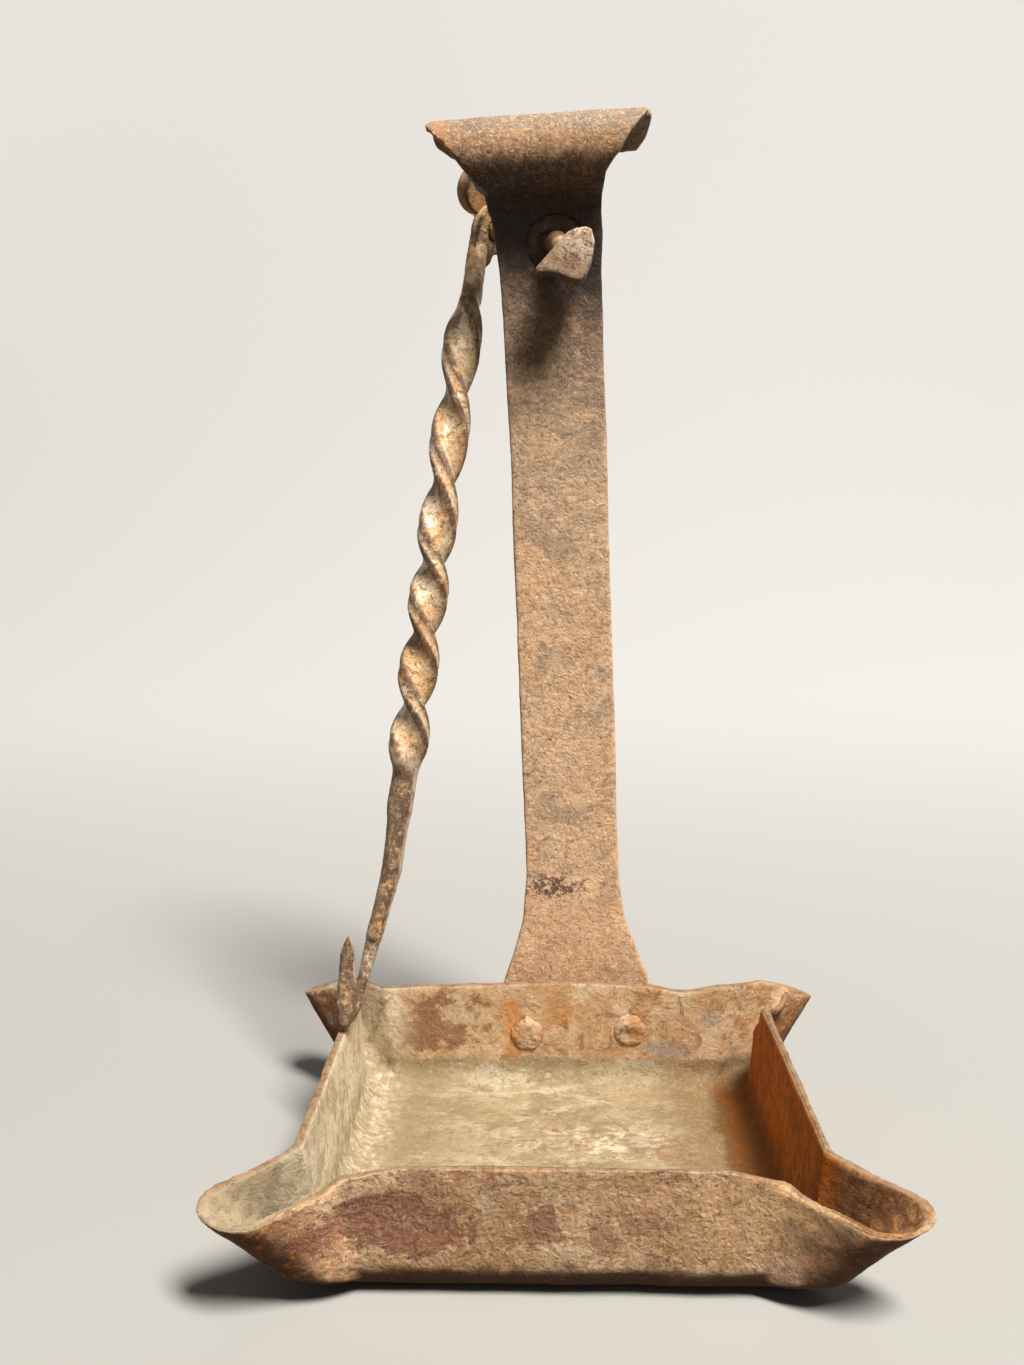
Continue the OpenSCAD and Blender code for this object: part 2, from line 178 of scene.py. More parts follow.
def blend(piece, spot, reach, rounds):
    """Smooths the surface around spot until steps there run into one another."""
    count = len(piece.data.vertices)
    place = np.empty(count * 3)
    piece.data.vertices.foreach_get("co", place)
    away = np.linalg.norm(place.reshape(-1, 3) - np.array(spot) * MM, axis=1) / (reach * MM)
    near = piece.vertex_groups.new(name="near")
    for low, weight in ((0.0, 1.0), (0.7, 0.5), (0.85, 0.2)):
        near.add(np.flatnonzero((away >= low) & (away < 1.0)).tolist(), weight, "REPLACE")
    apply_modifier(piece, "SMOOTH", factor=0.5, iterations=rounds, vertex_group="near")
    piece.vertex_groups.clear()


def sharpness(piece, rounds):
    """How far each vertex stands out: above 0 on edges, 0 where it is flat, below 0 in hollows."""
    mesh = piece.data
    count = len(mesh.vertices)
    place, normal = np.empty(count * 3), np.empty(count * 3)
    mesh.vertices.foreach_get("co", place)
    mesh.vertex_normals.foreach_get("vector", normal)
    place, normal = place.reshape(-1, 3), normal.reshape(-1, 3)
    ends = np.empty(len(mesh.edges) * 2, dtype=np.int64)
    mesh.edges.foreach_get("vertices", ends)
    first, second = ends.reshape(-1, 2).T
    step = place[second] - place[first]
    step /= np.linalg.norm(step, axis=1, keepdims=True) + 1e-12
    degree = np.bincount(first, minlength=count) + np.bincount(second, minlength=count)
    bend = np.bincount(second, (normal[second] * step).sum(axis=1), count)
    bend -= np.bincount(first, (normal[first] * step).sum(axis=1), count)
    bend /= degree
    for _ in range(rounds):
        bend = (np.bincount(first, bend[second], count) + np.bincount(second, bend[first], count)) / degree
    return bend


def mark_wear(piece):
    """Stores the sharpness: 1 on sharp edges, 0.5 where it is flat, 0 in hollows."""
    wear = np.clip(0.5 + 1.6 * sharpness(piece, 2), 0.0, 1.0)
    layer = piece.data.color_attributes.new("wear", "FLOAT_COLOR", "POINT")
    layer.data.foreach_set("color", np.repeat(wear, 4))


def finish_piece(piece, node, body, material):
    """Gives a piece its material and puts it in the place of its CAD node."""
    mark_wear(piece)
    piece.data.materials.clear()
    piece.data.materials.append(material)
    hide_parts(node)
    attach(piece, body)


# Helpers for the materials

class Finish:
    """One material, built from nodes that read Object coordinates."""

    def __init__(self, name):
        self.material = bpy.data.materials.new(name)
        self.material.use_nodes = True
        self.tree = self.material.node_tree
        self.tree.nodes.clear()
        self.out = self.add("ShaderNodeOutputMaterial")
        self.shader = self.add("ShaderNodeBsdfPrincipled")
        self.link(self.shader.outputs["BSDF"], self.out.inputs["Surface"])
        self.shader.inputs["Specular IOR Level"].default_value = 0.3
        self.place = self.add("ShaderNodeTexCoord")
        self.where = self.place.outputs["Object"]

    def add(self, kind, **values):
        node = self.tree.nodes.new(kind)
        for key, value in values.items():
            setattr(node, key, value)
        return node

    def link(self, source, target):
        self.tree.links.new(source, target)

    def put(self, socket, value):
        """A number, a colour or another node's output, into a socket."""
        if isinstance(value, bpy.types.NodeSocket):
            self.link(value, socket)
        else:
            socket.default_value = value

    def noise(self, size, detail=4.0, rough=0.6, bend=0.0, stretch=None):
        """Noise with features about as wide as size."""
        node = self.add("ShaderNodeTexNoise")
        node.inputs["Scale"].default_value = 1 / size
        node.inputs["Detail"].default_value = detail
        node.inputs["Roughness"].default_value = rough
        node.inputs["Distortion"].default_value = bend
        source = self.where
        if stretch:
            turned = self.add("ShaderNodeMapping")
            turned.inputs["Scale"].default_value = stretch
            self.link(self.where, turned.inputs["Vector"])
            source = turned.outputs["Vector"]
        self.link(source, node.inputs["Vector"])
        return node.outputs["Fac"]

    def patches(self, size, cover, soft=0.02, detail=6.0, rough=0.62, bend=0.4, stretch=None):
        """A mask of ragged patches about as wide as size that covers the given share."""
        level = 0.5 + 0.28 * (0.5 - cover)
        return self.between(self.noise(size, detail, rough, bend, stretch), level - soft, level + soft)

    def cells(self, size):
        """Distance to the nearest of scattered points, for pits and flecks."""
        node = self.add("ShaderNodeTexVoronoi")
        node.inputs["Scale"].default_value = 1 / size
        self.link(self.where, node.inputs["Vector"])
        return node.outputs["Distance"]

    def between(self, value, low, high, smooth=True):
        """0 where value is at low, 1 where it is at high."""
        node = self.add("ShaderNodeMapRange")
        node.interpolation_type = "SMOOTHSTEP" if smooth else "LINEAR"
        self.put(node.inputs["Value"], value)
        node.inputs["From Min"].default_value = low
        node.inputs["From Max"].default_value = high
        return node.outputs["Result"]

    def math(self, kind, first, second=0.0):
        node = self.add("ShaderNodeMath", operation=kind)
        self.put(node.inputs[0], first)
        self.put(node.inputs[1], second)
        return node.outputs[0]

    def mix(self, share, first, second, kind="MIX"):
        """Two colours mixed by share."""
        node = self.add("ShaderNodeMix", data_type="RGBA", blend_type=kind)
        self.put(node.inputs[0], share)
        self.put(node.inputs[6], first)
        self.put(node.inputs[7], second)
        return node.outputs[2]

    def cover(self, tone, mask, colour, share=1.0):
        """Lays a colour over tone where mask is 1."""
        return self.mix(self.math("MULTIPLY", mask, share), tone, colour)

    def ramp(self, value, *stops):
        """A colour that changes with value, through (place, colour) stops."""
        node = self.add("ShaderNodeValToRGB")
        elements = node.color_ramp.elements
        while len(elements) < len(stops):
            elements.new(0.5)
        for element, (place, colour) in zip(elements, stops):
            element.position = place
            element.color = colour
        self.put(node.inputs["Fac"], value)
        return node.outputs["Color"]

    def spot(self, middle, radii, ragged=0.5, size=6 * MM, soft=0.15):
        """1 at middle, 0 beyond radii, with a ragged edge."""
        away = self.add("ShaderNodeVectorMath", operation="SUBTRACT")
        self.link(self.where, away.inputs[0])
        away.inputs[1].default_value = [v * MM for v in middle]
        share = self.add("ShaderNodeVectorMath", operation="DIVIDE")
        self.link(away.outputs["Vector"], share.inputs[0])
        share.inputs[1].default_value = [v * MM for v in radii]
        length = self.add("ShaderNodeVectorMath", operation="LENGTH")
        self.link(share.outputs["Vector"], length.inputs[0])
        edge = self.math("MULTIPLY", self.math("SUBTRACT", self.noise(size, 6, 0.7), 0.5), 4 * ragged)
        return self.between(self.math("ADD", length.outputs["Value"], edge), 1.0, 1.0 - soft)

    def axis(self, name):
        """One coordinate in metres."""
        node = self.add("ShaderNodeSeparateXYZ")
        self.link(self.where, node.inputs["Vector"])
        return node.outputs[name]

    def wear(self):
        """The stored wear, 0 in hollows and 1 on edges."""
        node = self.add("ShaderNodeAttribute", attribute_name="wear")
        return node.outputs["Fac"]

    def facing(self, point):
        """How much the surface faces a point, from -1 to 1."""
        towards = self.add("ShaderNodeVectorMath", operation="SUBTRACT")
        towards.inputs[0].default_value = [v * MM for v in point]
        self.link(self.where, towards.inputs[1])
        unit = self.add("ShaderNodeVectorMath", operation="NORMALIZE")
        self.link(towards.outputs["Vector"], unit.inputs[0])
        dot = self.add("ShaderNodeVectorMath", operation="DOT_PRODUCT")
        self.link(unit.outputs["Vector"], dot.inputs[0])
        self.link(self.place.outputs["Normal"], dot.inputs[1])
        return dot.outputs["Value"]

    def facing_spout(self, start, along):
        """How much the surface faces the line that runs out through the nearest of four spouts."""
        start = Vector(start) * MM
        folded = self.add("ShaderNodeVectorMath", operation="ABSOLUTE")
        self.link(self.where, folded.inputs[0])
        away = self.add("ShaderNodeVectorMath", operation="SUBTRACT")
        self.link(folded.outputs["Vector"], away.inputs[0])
        away.inputs[1].default_value = start
        share = self.add("ShaderNodeVectorMath", operation="DOT_PRODUCT")
        self.link(away.outputs["Vector"], share.inputs[0])
        share.inputs[1].default_value = along
        foot = self.add("ShaderNodeVectorMath", operation="MULTIPLY_ADD")
        foot.inputs[0].default_value = along
        self.link(share.outputs["Value"], foot.inputs[1])
        foot.inputs[2].default_value = start
        towards = self.add("ShaderNodeVectorMath", operation="SUBTRACT")
        self.link(foot.outputs["Vector"], towards.inputs[0])
        self.link(folded.outputs["Vector"], towards.inputs[1])
        side = self.add("ShaderNodeVectorMath", operation="SIGN")
        self.link(self.where, side.inputs[0])
        unfolded = self.add("ShaderNodeVectorMath", operation="MULTIPLY")
        self.link(towards.outputs["Vector"], unfolded.inputs[0])
        self.link(side.outputs["Vector"], unfolded.inputs[1])
        unit = self.add("ShaderNodeVectorMath", operation="NORMALIZE")
        self.link(unfolded.outputs["Vector"], unit.inputs[0])
        dot = self.add("ShaderNodeVectorMath", operation="DOT_PRODUCT")
        self.link(unit.outputs["Vector"], dot.inputs[0])
        self.link(self.place.outputs["Normal"], dot.inputs[1])
        return dot.outputs["Value"]

    def close(self, colour, rough, metal, height, depth):
        """Joins the layers to the shader, with the bump that height gives."""
        self.put(self.shader.inputs["Base Color"], colour)
        self.put(self.shader.inputs["Roughness"], rough)
        self.put(self.shader.inputs["Metallic"], metal)
        bump = self.add("ShaderNodeBump")
        bump.inputs["Strength"].default_value = 1.0
        bump.inputs["Distance"].default_value = depth
        self.link(height, bump.inputs["Height"])
        self.link(bump.outputs["Normal"], self.shader.inputs["Normal"])
        return self.material


def crust_height(f, grain):
    """Height of rust scale: flat flakes with ragged edges, grains and small pits."""
    flakes = f.patches(grain * 5, 0.5, 0.05, 8, 0.66, 0.8)
    lumps = f.noise(grain * 2.2, 8, 0.72, 0.5)
    pits = f.between(f.cells(grain * 1.6), 0.1, 0.42)
    total = f.math("ADD", f.math("MULTIPLY", flakes, 0.22), f.math("MULTIPLY", lumps, 0.9))
    return f.math("ADD", total, f.math("MULTIPLY", pits, 0.14))


def speckle(f, tone, size, dark, light, share):
    """Adds dark pits, light grains and a fine mottling to a tone."""
    tone = f.cover(tone, f.patches(size * 2.2, 0.3, 0.08, 8, 0.75, 0.0), dark, share * 0.45)
    tone = f.cover(tone, f.patches(size * 1.9, 0.25, 0.06, 8, 0.75, 0.0, (1.1, 0.9, 1)), light, share * 0.45)
    tone = f.cover(tone, f.patches(size, 0.22, 0.04, 5, 0.75), dark, share)
    return f.cover(tone, f.patches(size * 0.8, 0.2, 0.04, 4, 0.75, 0.0), light, share * 0.7)


def strap_finish(look):
    """Light orange-tan rust with grey-brown mottling, dark near the top and in the pitted band, with the roll's shadow
    painted under the rolled top and painted shade below the pin head.
    """
    f = Finish("strap_rust")
    large = f.noise(20 * MM, 4, 0.55, 0.3)
    tone = f.ramp(large, (0.40, look.strap_tan), (0.60, look.strap_orange))
    tone = f.cover(tone, f.patches(13 * MM, 0.3, 0.04, 9, 0.7, 0.6), look.strap_grey, 0.75)
    tone = f.cover(tone, f.patches(5 * MM, 0.22, 0.03, 8, 0.7, 1.2), look.strap_mottle, 0.6)
    tone = f.cover(tone, f.patches(6 * MM, 0.08, 0.03, 6, 0.66), look.outer_orange, 0.5)
    flare = f.math("MULTIPLY", f.between(f.axis("Z"), 62 * MM, 44 * MM), f.patches(5 * MM, 0.8, 0.1, 6, 0.66))
    tone = f.cover(tone, flare, look.strap_mottle, 0.6)
    upper = f.between(f.axis("Z"), 112 * MM, 190 * MM)
    tone = f.cover(tone, f.math("MULTIPLY", upper, f.patches(5 * MM, 0.6, 0.08, 8, 0.7, 0.8)), look.strap_grey, 0.85)
    # Darker mottling below the pin: partly the strap's own dark patina, partly painted shade around the pin's shadow
    patina_and_painted_shade = f.math("MULTIPLY", f.between(f.axis("Z"), 160 * MM, 208 * MM), f.patches(3.5 * MM, 0.6, 0.08, 8, 0.74, 1.2))
    tone = f.cover(tone, patina_and_painted_shade, look.strap_dark, 0.9)
    tone = roll_tones(f, tone, look)
    # Painted shadow: the roll's cast shadow on the strap, reaching lower on the right so the pin head's shadow runs
    # into it
    roll_painted_shadow = f.math("ADD", f.axis("Z"), f.math("MULTIPLY", f.math("SUBTRACT", f.noise(5 * MM, 8, 0.72), 0.5), 24 * MM))
    roll_painted_shadow = f.math("ADD", roll_painted_shadow, f.math("MULTIPLY", f.axis("X"), 0.45))
    roll_painted_shadow = f.math("MULTIPLY", f.between(roll_painted_shadow, 198 * MM, 213 * MM), f.between(f.axis("Z"), 236 * MM, 227 * MM))
    tone = f.cover(tone, roll_painted_shadow, look.strap_painted_shadow, 0.85)
    tone = f.cover(tone, f.patches(2.6 * MM, 0.3, 0.05, 8, 0.74, 1.5), look.strap_mottle, 0.6)
    veins = f.patches(8 * MM, 0.12, 0.015, 9, 0.78, 2.5)
    tone = f.cover(tone, veins, look.strap_dark, 0.6)
    tone = speckle(f, tone, 0.9 * MM, look.strap_dark, look.pale_scale, 0.6)
    # Painted shade: a darker band below the pin head, lower on the right, so the pin head's cast shadow blends in
    painted_shade_band = f.math("ADD", f.axis("Z"), f.math("MULTIPLY", f.axis("X"), 0.7))
    painted_shade_band = f.math("ADD", painted_shade_band, f.math("MULTIPLY", f.math("SUBTRACT", f.noise(4 * MM, 9, 0.76), 0.5), 40 * MM))
    painted_shade_band = f.math("MULTIPLY", f.between(painted_shade_band, 170 * MM, 204 * MM), f.between(f.axis("Z"), 232 * MM, 222 * MM))
    tone = f.cover(tone, painted_shade_band, look.strap_painted_shade, 0.48)
    # The roll's painted shadow again, laid over the mottling and specks
    tone = f.cover(tone, roll_painted_shadow, look.strap_painted_shadow, 0.86)
    scar = f.spot((-1, 50.5, 54), (9, 8, 3.6), 0.8, 3 * MM, 0.5)
    scar = f.math("MULTIPLY", scar, f.patches(1.6 * MM, 0.6, 0.03, 4, 0.7))
    tone = f.cover(tone, scar, look.pit_dark, 0.85)
    tone = f.cover(tone, f.between(f.wear(), 0.62, 0.9), look.pale_scale, 0.4)
    tone = f.cover(tone, f.between(f.wear(), 0.42, 0.2), look.strap_dark, 0.5)
    rough = f.between(large, 0.0, 1.0, False)
    rough = f.math("ADD", f.math("MULTIPLY", rough, -0.25), 0.82)
    return f.close(tone, rough, 0.0, crust_height(f, 0.8 * MM), 0.36 * MM)


def roll_tones(f, tone, look):
    """The rolled top: pale crest, amber middle, painted shade on the lower part, greenish flap and a painted highlight
    on the cut edge that faces right.
    """
    ragged = f.math("MULTIPLY", f.math("SUBTRACT", f.noise(3 * MM, 7, 0.72, 0.6, (1, 1, 0.5)), 0.5), 18 * MM)
    height = f.math("ADD", f.axis("Z"), ragged)
    in_front = f.between(f.axis("Y"), 50 * MM, 47 * MM)
    tone = f.cover(tone, f.between(f.axis("Z"), 238 * MM, 244 * MM), look.roll_pale, 0.9)
    amber = f.math("MULTIPLY", f.between(height, 243 * MM, 240 * MM), in_front)
    tone = f.cover(tone, amber, look.roll_amber, 0.8)
    mottled = f.math("MULTIPLY", f.patches(2.6 * MM, 0.35, 0.04, 8, 0.74, 1.0), f.between(f.axis("Z"), 244 * MM, 240 * MM))
    tone = f.cover(tone, f.math("MULTIPLY", mottled, in_front), look.roll_dark, 0.5)
    # Painted shade on the lower part of the roll, which turns down and away from the light
    painted_shade_band = f.math("MULTIPLY", f.between(height, 237.5 * MM, 233 * MM), in_front)
    tone = f.cover(tone, painted_shade_band, look.roll_dark, 0.85)
    flap = f.math("MULTIPLY", f.between(f.axis("Y"), 48 * MM, 50 * MM), f.between(f.axis("X"), 15 * MM, 17 * MM))
    tone = f.cover(tone, f.math("MULTIPLY", flap, f.between(f.axis("Z"), 234 * MM, 236 * MM)), look.flap_green, 0.8)
    fan = f.math("MULTIPLY", f.between(f.axis("X"), -13 * MM, -19 * MM), f.between(f.axis("Z"), 206 * MM, 222 * MM))
    tone = f.cover(tone, f.math("MULTIPLY", fan, f.patches(4 * MM, 0.7, 0.08, 8, 0.7)), look.strap_dark, 0.35)
    left = f.math("MULTIPLY", f.between(f.axis("X"), -25.5 * MM, -28 * MM), f.between(f.axis("Z"), 236 * MM, 240 * MM))
    tone = f.cover(tone, left, look.streak_orange, 0.4)
    split = f.add("ShaderNodeSeparateXYZ")
    f.link(f.place.outputs["Normal"], split.inputs["Vector"])
    # Painted highlight on the sheet's cut end that faces the light on the right
    right_cut_edge_highlight = f.math("MULTIPLY", f.between(split.outputs["X"], 0.5, 0.8), f.between(f.axis("Z"), 233 * MM, 236 * MM))
    return f.cover(tone, right_cut_edge_highlight, look.pale_scale, 0.8)


def tray_inside(f, look):
    """Colours of the tray's inside: pale floor, orange-brown back wall, grey-tan left wall, with painted shade on the
    right wall and its painted shadow on the floor.
    """
    floor = f.ramp(f.noise(13 * MM, 4, 0.55, 0.3), (0.40, look.floor_olive), (0.56, look.floor_tan))
    floor = f.cover(floor, f.patches(9 * MM, 0.3, 0.05, 8, 0.66, 0.5, (0.6, 1.4, 1)), look.floor_pale, 0.8)
    floor = f.cover(floor, f.patches(4 * MM, 0.25, 0.03, 8, 0.7, 0.8, (0.4, 1.8, 1)), look.floor_olive, 0.7)
    flecks = f.patches(5 * MM, 0.42, 0.04, 10, 0.78, 0.0, (0.7, 1.3, 1))
    flecks = f.math("MULTIPLY", f.spot((13, 13, 2), (27, 11, 9), 0.8, 8 * MM, 0.8), flecks)
    floor = f.cover(floor, flecks, look.floor_white, 0.95)
    rusty = f.math("MULTIPLY", f.spot((9, 13, 2), (40, 15, 9), 0.7, 9 * MM, 0.8), f.patches(4 * MM, 0.3, 0.03, 10, 0.78, 0.0))
    floor = f.cover(floor, rusty, look.floor_rust, 0.9)
    floor = f.cover(floor, f.patches(3 * MM, 0.16, 0.02, 7, 0.74, 0.5), look.wall_brown, 0.5)
    floor = f.cover(floor, f.patches(2.2 * MM, 0.16, 0.02, 7, 0.76, 0.0, (0.6, 1.4, 1)), look.floor_pale, 0.7)
    floor = f.cover(floor, f.patches(3.4 * MM, 0.08, 0.02, 9, 0.78), look.floor_rust, 0.7)
    # Painted shade: the left of the floor, where the key lamp falls brightest, is darkened
    sunny = f.between(f.axis("X"), -14 * MM, -38 * MM)
    floor = f.cover(floor, f.math("MULTIPLY", sunny, f.patches(4 * MM, 0.7, 0.08, 9, 0.76, 0.5, (0.6, 1.4, 1))), look.floor_olive, 0.85)
    # Darker towards the right wall: partly the floor's own brown, partly painted shade
    dull = f.math("ADD", f.axis("X"), f.math("MULTIPLY", f.noise(9 * MM, 7, 0.7), 24 * MM))
    floor = f.cover(floor, f.between(dull, 26 * MM, 50 * MM), look.floor_brown, 0.9)
    wall = f.ramp(f.noise(9 * MM, 5, 0.6, 0.5), (0.42, look.wall_tan), (0.58, look.wall_pale))
    wall = f.cover(wall, f.patches(7 * MM, 0.36, 0.03, 8, 0.68, 0.8), look.wall_orange, 0.7)
    wall = f.cover(wall, f.patches(6 * MM, 0.25, 0.03, 9, 0.72, 0.5), look.wall_pale, 0.7)
    wall = f.cover(wall, f.patches(5 * MM, 0.24, 0.02, 8, 0.7, 1.0), look.wall_brown, 0.7)
    wall = f.cover(wall, f.spot((-31, 46, 18), (15, 12, 7), 0.9, 7 * MM, 0.3), look.wall_brown, 0.85)
    wall = f.cover(wall, f.spot((-24, 46, 20), (6, 12, 5), 1.0, 4 * MM, 0.3), look.wall_pale, 0.7)
    wall = f.cover(wall, f.spot((-12, 46, 18), (3, 10, 12), 1.0, 4 * MM, 0.7), look.streak_orange, 0.7)
    wall = f.cover(wall, f.spot((1, 46, 22), (9, 10, 6), 1.0, 4 * MM, 0.7), look.streak_orange, 0.35)
    wall = f.cover(wall, f.spot((29, 45, 12), (7, 8, 3), 0.8, 3 * MM, 0.5), look.grey_blue, 0.7)
    wall = f.cover(wall, f.spot((40, 44, 20), (3, 8, 3), 0.6, 3 * MM, 0.5), look.grey_blue, 0.6)
    high = f.between(f.axis("Z"), 5 * MM, 13 * MM)
    back = f.between(f.axis("Y"), 27 * MM, 42 * MM)
    edge = f.math("MULTIPLY", f.math("SUBTRACT", f.noise(8 * MM, 6, 0.66), 0.5), 0.9)
    share = f.between(f.math("ADD", f.math("MULTIPLY", high, back), edge), 0.3, 0.7)
    inner = f.mix(share, floor, wall)
    side = f.math("ADD", f.axis("X"), f.math("MULTIPLY", edge, 12 * MM))
    away = f.math("ABSOLUTE", f.axis("Y"))
    # Painted shade: the right wall's inner face and round corner, turned from the light, get saturated amber shade
    # colours
    right = f.math("MULTIPLY", f.between(side, 39.5 * MM, 43.5 * MM), f.between(away, 47 * MM, 40 * MM))
    fine_streaks = f.patches(1.6 * MM, 0.4, 0.06, 4, 0.6, 0.0, (1, 1, 0.25))
    inner = speckle(f, inner, 0.9 * MM, look.wall_brown, look.floor_pale, 0.45)
    amber = f.mix(f.math("MULTIPLY", fine_streaks, 0.4), look.wall_painted_shade_amber, look.painted_shade_deep_amber)
    amber = f.cover(amber, f.patches(5 * MM, 0.4, 0.06, 8, 0.72, 0.6), look.painted_shade_deep_amber, 0.7)
    amber = f.cover(amber, f.patches(1.6 * MM, 0.2, 0.03, 6, 0.72, 0.6), look.wall_deep, 0.6)
    # Painted shadow: the right wall's shadow on the floor, a ragged dark arc at its edge
    floor_painted_shadow = f.math("MULTIPLY", f.between(side, 37.5 * MM, 40.5 * MM), f.between(f.axis("Z"), 14 * MM, 8 * MM))
    floor_painted_shadow = f.math("MULTIPLY", floor_painted_shadow, f.between(away, 44 * MM, 36 * MM))
    floor_painted_shadow = f.math("MULTIPLY", floor_painted_shadow, f.between(f.noise(1.6 * MM, 8, 0.74), 0.25, 0.5))
    inner = f.cover(inner, floor_painted_shadow, look.painted_shadow_brown, 0.85)
    # Painted shade, darker at the foot of the right wall
    amber = f.cover(amber, f.between(f.axis("Z"), 12 * MM, 4 * MM), look.painted_shadow_brown, 0.75)
    inner = f.mix(f.math("MULTIPLY", right, 0.96), inner, amber)
    # Painted shade: darkens the round corner at the left, which the key lamp lights brightest
    lit_corner = f.math("MULTIPLY", f.between(side, -32 * MM, -39 * MM), f.between(f.axis("Z"), 15 * MM, 5 * MM))
    left = f.between(f.axis("X"), -36 * MM, -46 * MM)
    grey = f.mix(f.patches(6 * MM, 0.35, 0.04, 8, 0.66, 0.5), look.left_pale, look.left_grey)
    grey = f.cover(grey, f.patches(4 * MM, 0.18, 0.02, 8, 0.7, 1.0), look.wall_tan, 0.6)
    grey = f.cover(grey, f.patches(1.8 * MM, 0.2, 0.04, 8, 0.76), look.floor_olive, 0.5)
    inner = f.mix(f.math("MULTIPLY", left, 0.85), inner, grey)
    lit_corner = f.math("MULTIPLY", lit_corner, f.between(f.noise(2.2 * MM, 9, 0.76), 0.3, 0.62))
    inner = f.cover(inner, lit_corner, look.floor_olive, 0.9)
    front = f.between(f.axis("Y"), -39 * MM, -43 * MM)
    scoop = f.mix(f.patches(3 * MM, 0.4, 0.09, 9, 0.78, 0.4), look.scoop_brown, look.wall_orange)
    scoop = f.cover(scoop, f.patches(1.3 * MM, 0.35, 0.05, 8, 0.76), look.wall_brown, 0.7)
    scoop = f.cover(scoop, f.spot((71, -57, 24), (8, 8, 9), 0.8, 4 * MM, 0.7), look.wall_pale, 0.75)
    # Painted shade in the trough of the front-right spout, beside the shaded right wall
    scoop = f.cover(scoop, f.spot((50, -41, 12), (12, 9, 12), 0.6, 4 * MM, 0.7), look.outer_dark, 0.85)
    inner = f.mix(f.math("MULTIPLY", f.math("MULTIPLY", front, f.between(side, 44 * MM, 50 * MM)), 0.94), inner, scoop)
    left_scoop = f.mix(f.patches(5 * MM, 0.45, 0.05, 8, 0.7, 0.5), look.scoop_pale, look.scoop_grey)
    left_scoop = f.cover(left_scoop, f.patches(2.5 * MM, 0.2, 0.03, 8, 0.72, 0.6), look.wall_brown, 0.5)
    inner = f.mix(f.math("MULTIPLY", front, f.between(f.axis("X"), -42 * MM, -48 * MM)), inner, left_scoop)
    # Painted shade in the throat of the front-left spout
    throat_painted_shade = f.spot((-46, -40, 14), (11, 12, 12), 0.5, 5 * MM, 0.8)
    return f.cover(inner, f.math("MULTIPLY", throat_painted_shade, front), look.floor_brown, 0.5)


def tray_outside(f, look, upward):
    """Colours of the tray's outside: tan crust over red-brown, with one large dark patch, and painted shade on downward
    faces and below the spouts.
    """
    tone = f.ramp(f.noise(14 * MM, 5, 0.6, 0.5), (0.42, look.outer_brown), (0.58, look.outer_tan))
    tone = f.cover(tone, f.patches(9 * MM, 0.34, 0.03, 8, 0.68, 0.8), look.outer_red, 0.6)
    tone = f.cover(tone, f.patches(5 * MM, 0.25, 0.02, 8, 0.7, 1.0), look.outer_tan, 0.7)
    tone = f.cover(tone, f.patches(4 * MM, 0.16, 0.02, 7, 0.7, 0.8), look.outer_orange, 0.6)
    large = f.spot((-33, -50, 15.5), (19, 22, 6.5), 0.75, 11 * MM, 0.06)
    tone = f.cover(tone, large, look.outer_burgundy, 0.92)
    tone = f.cover(tone, f.spot((-3, -50, 16), (4, 20, 5), 0.9, 5 * MM, 0.2), look.outer_burgundy, 0.75)
    tone = f.cover(tone, f.spot((8, -50, 15), (4, 20, 5), 0.9, 5 * MM, 0.2), look.outer_burgundy, 0.6)
    tone = f.cover(tone, f.spot((38, -50, 19), (26, 20, 10), 0.9, 5 * MM, 0.8), look.outer_gold, 0.75)
    tone = f.cover(tone, f.spot((54, -50, 15), (8, 20, 4), 0.9, 4 * MM, 0.5), look.wall_deep, 0.5)
    behind = f.between(f.axis("Y"), -30 * MM, -10 * MM)
    rust = f.patches(6 * MM, 0.75, 0.05, 8, 0.7, 1.0)
    tone = f.cover(tone, f.math("MULTIPLY", behind, rust), look.side_rust, 0.8)
    tone = f.cover(tone, f.patches(1.8 * MM, 0.16, 0.02, 8, 0.76), look.outer_flecks, 0.6)
    tone = speckle(f, tone, 0.9 * MM, look.outer_dark, look.pale_scale, 0.55)
    # Painted shade with orange flecks on the low sides below the spouts, and on faces turned downwards
    wide = f.between(f.math("ABSOLUTE", f.axis("X")), 42 * MM, 54 * MM)
    ragged = f.math("MULTIPLY", f.noise(5 * MM, 7, 0.7), 16 * MM)
    below_spouts_painted_shade = f.between(f.math("ADD", f.axis("Z"), ragged), 35 * MM, 23 * MM)
    rusty = f.mix(f.patches(1.8 * MM, 0.25, 0.03, 8, 0.76), look.underside_painted_shade, look.outer_flecks)
    tone = f.cover(tone, f.math("MULTIPLY", wide, below_spouts_painted_shade), rusty, 0.8)
    downward_painted_shade = f.between(f.math("ADD", upward, f.math("MULTIPLY", f.noise(4 * MM, 6, 0.7), -0.3)), -0.25, -0.55)
    tone = f.cover(tone, downward_painted_shade, rusty, 0.85)
    low = f.between(f.math("ADD", f.axis("Z"), f.math("MULTIPLY", f.noise(4 * MM, 6, 0.7), -8 * MM)), 4.5 * MM, -2 * MM)
    return f.cover(tone, low, look.outer_dark, 0.8)


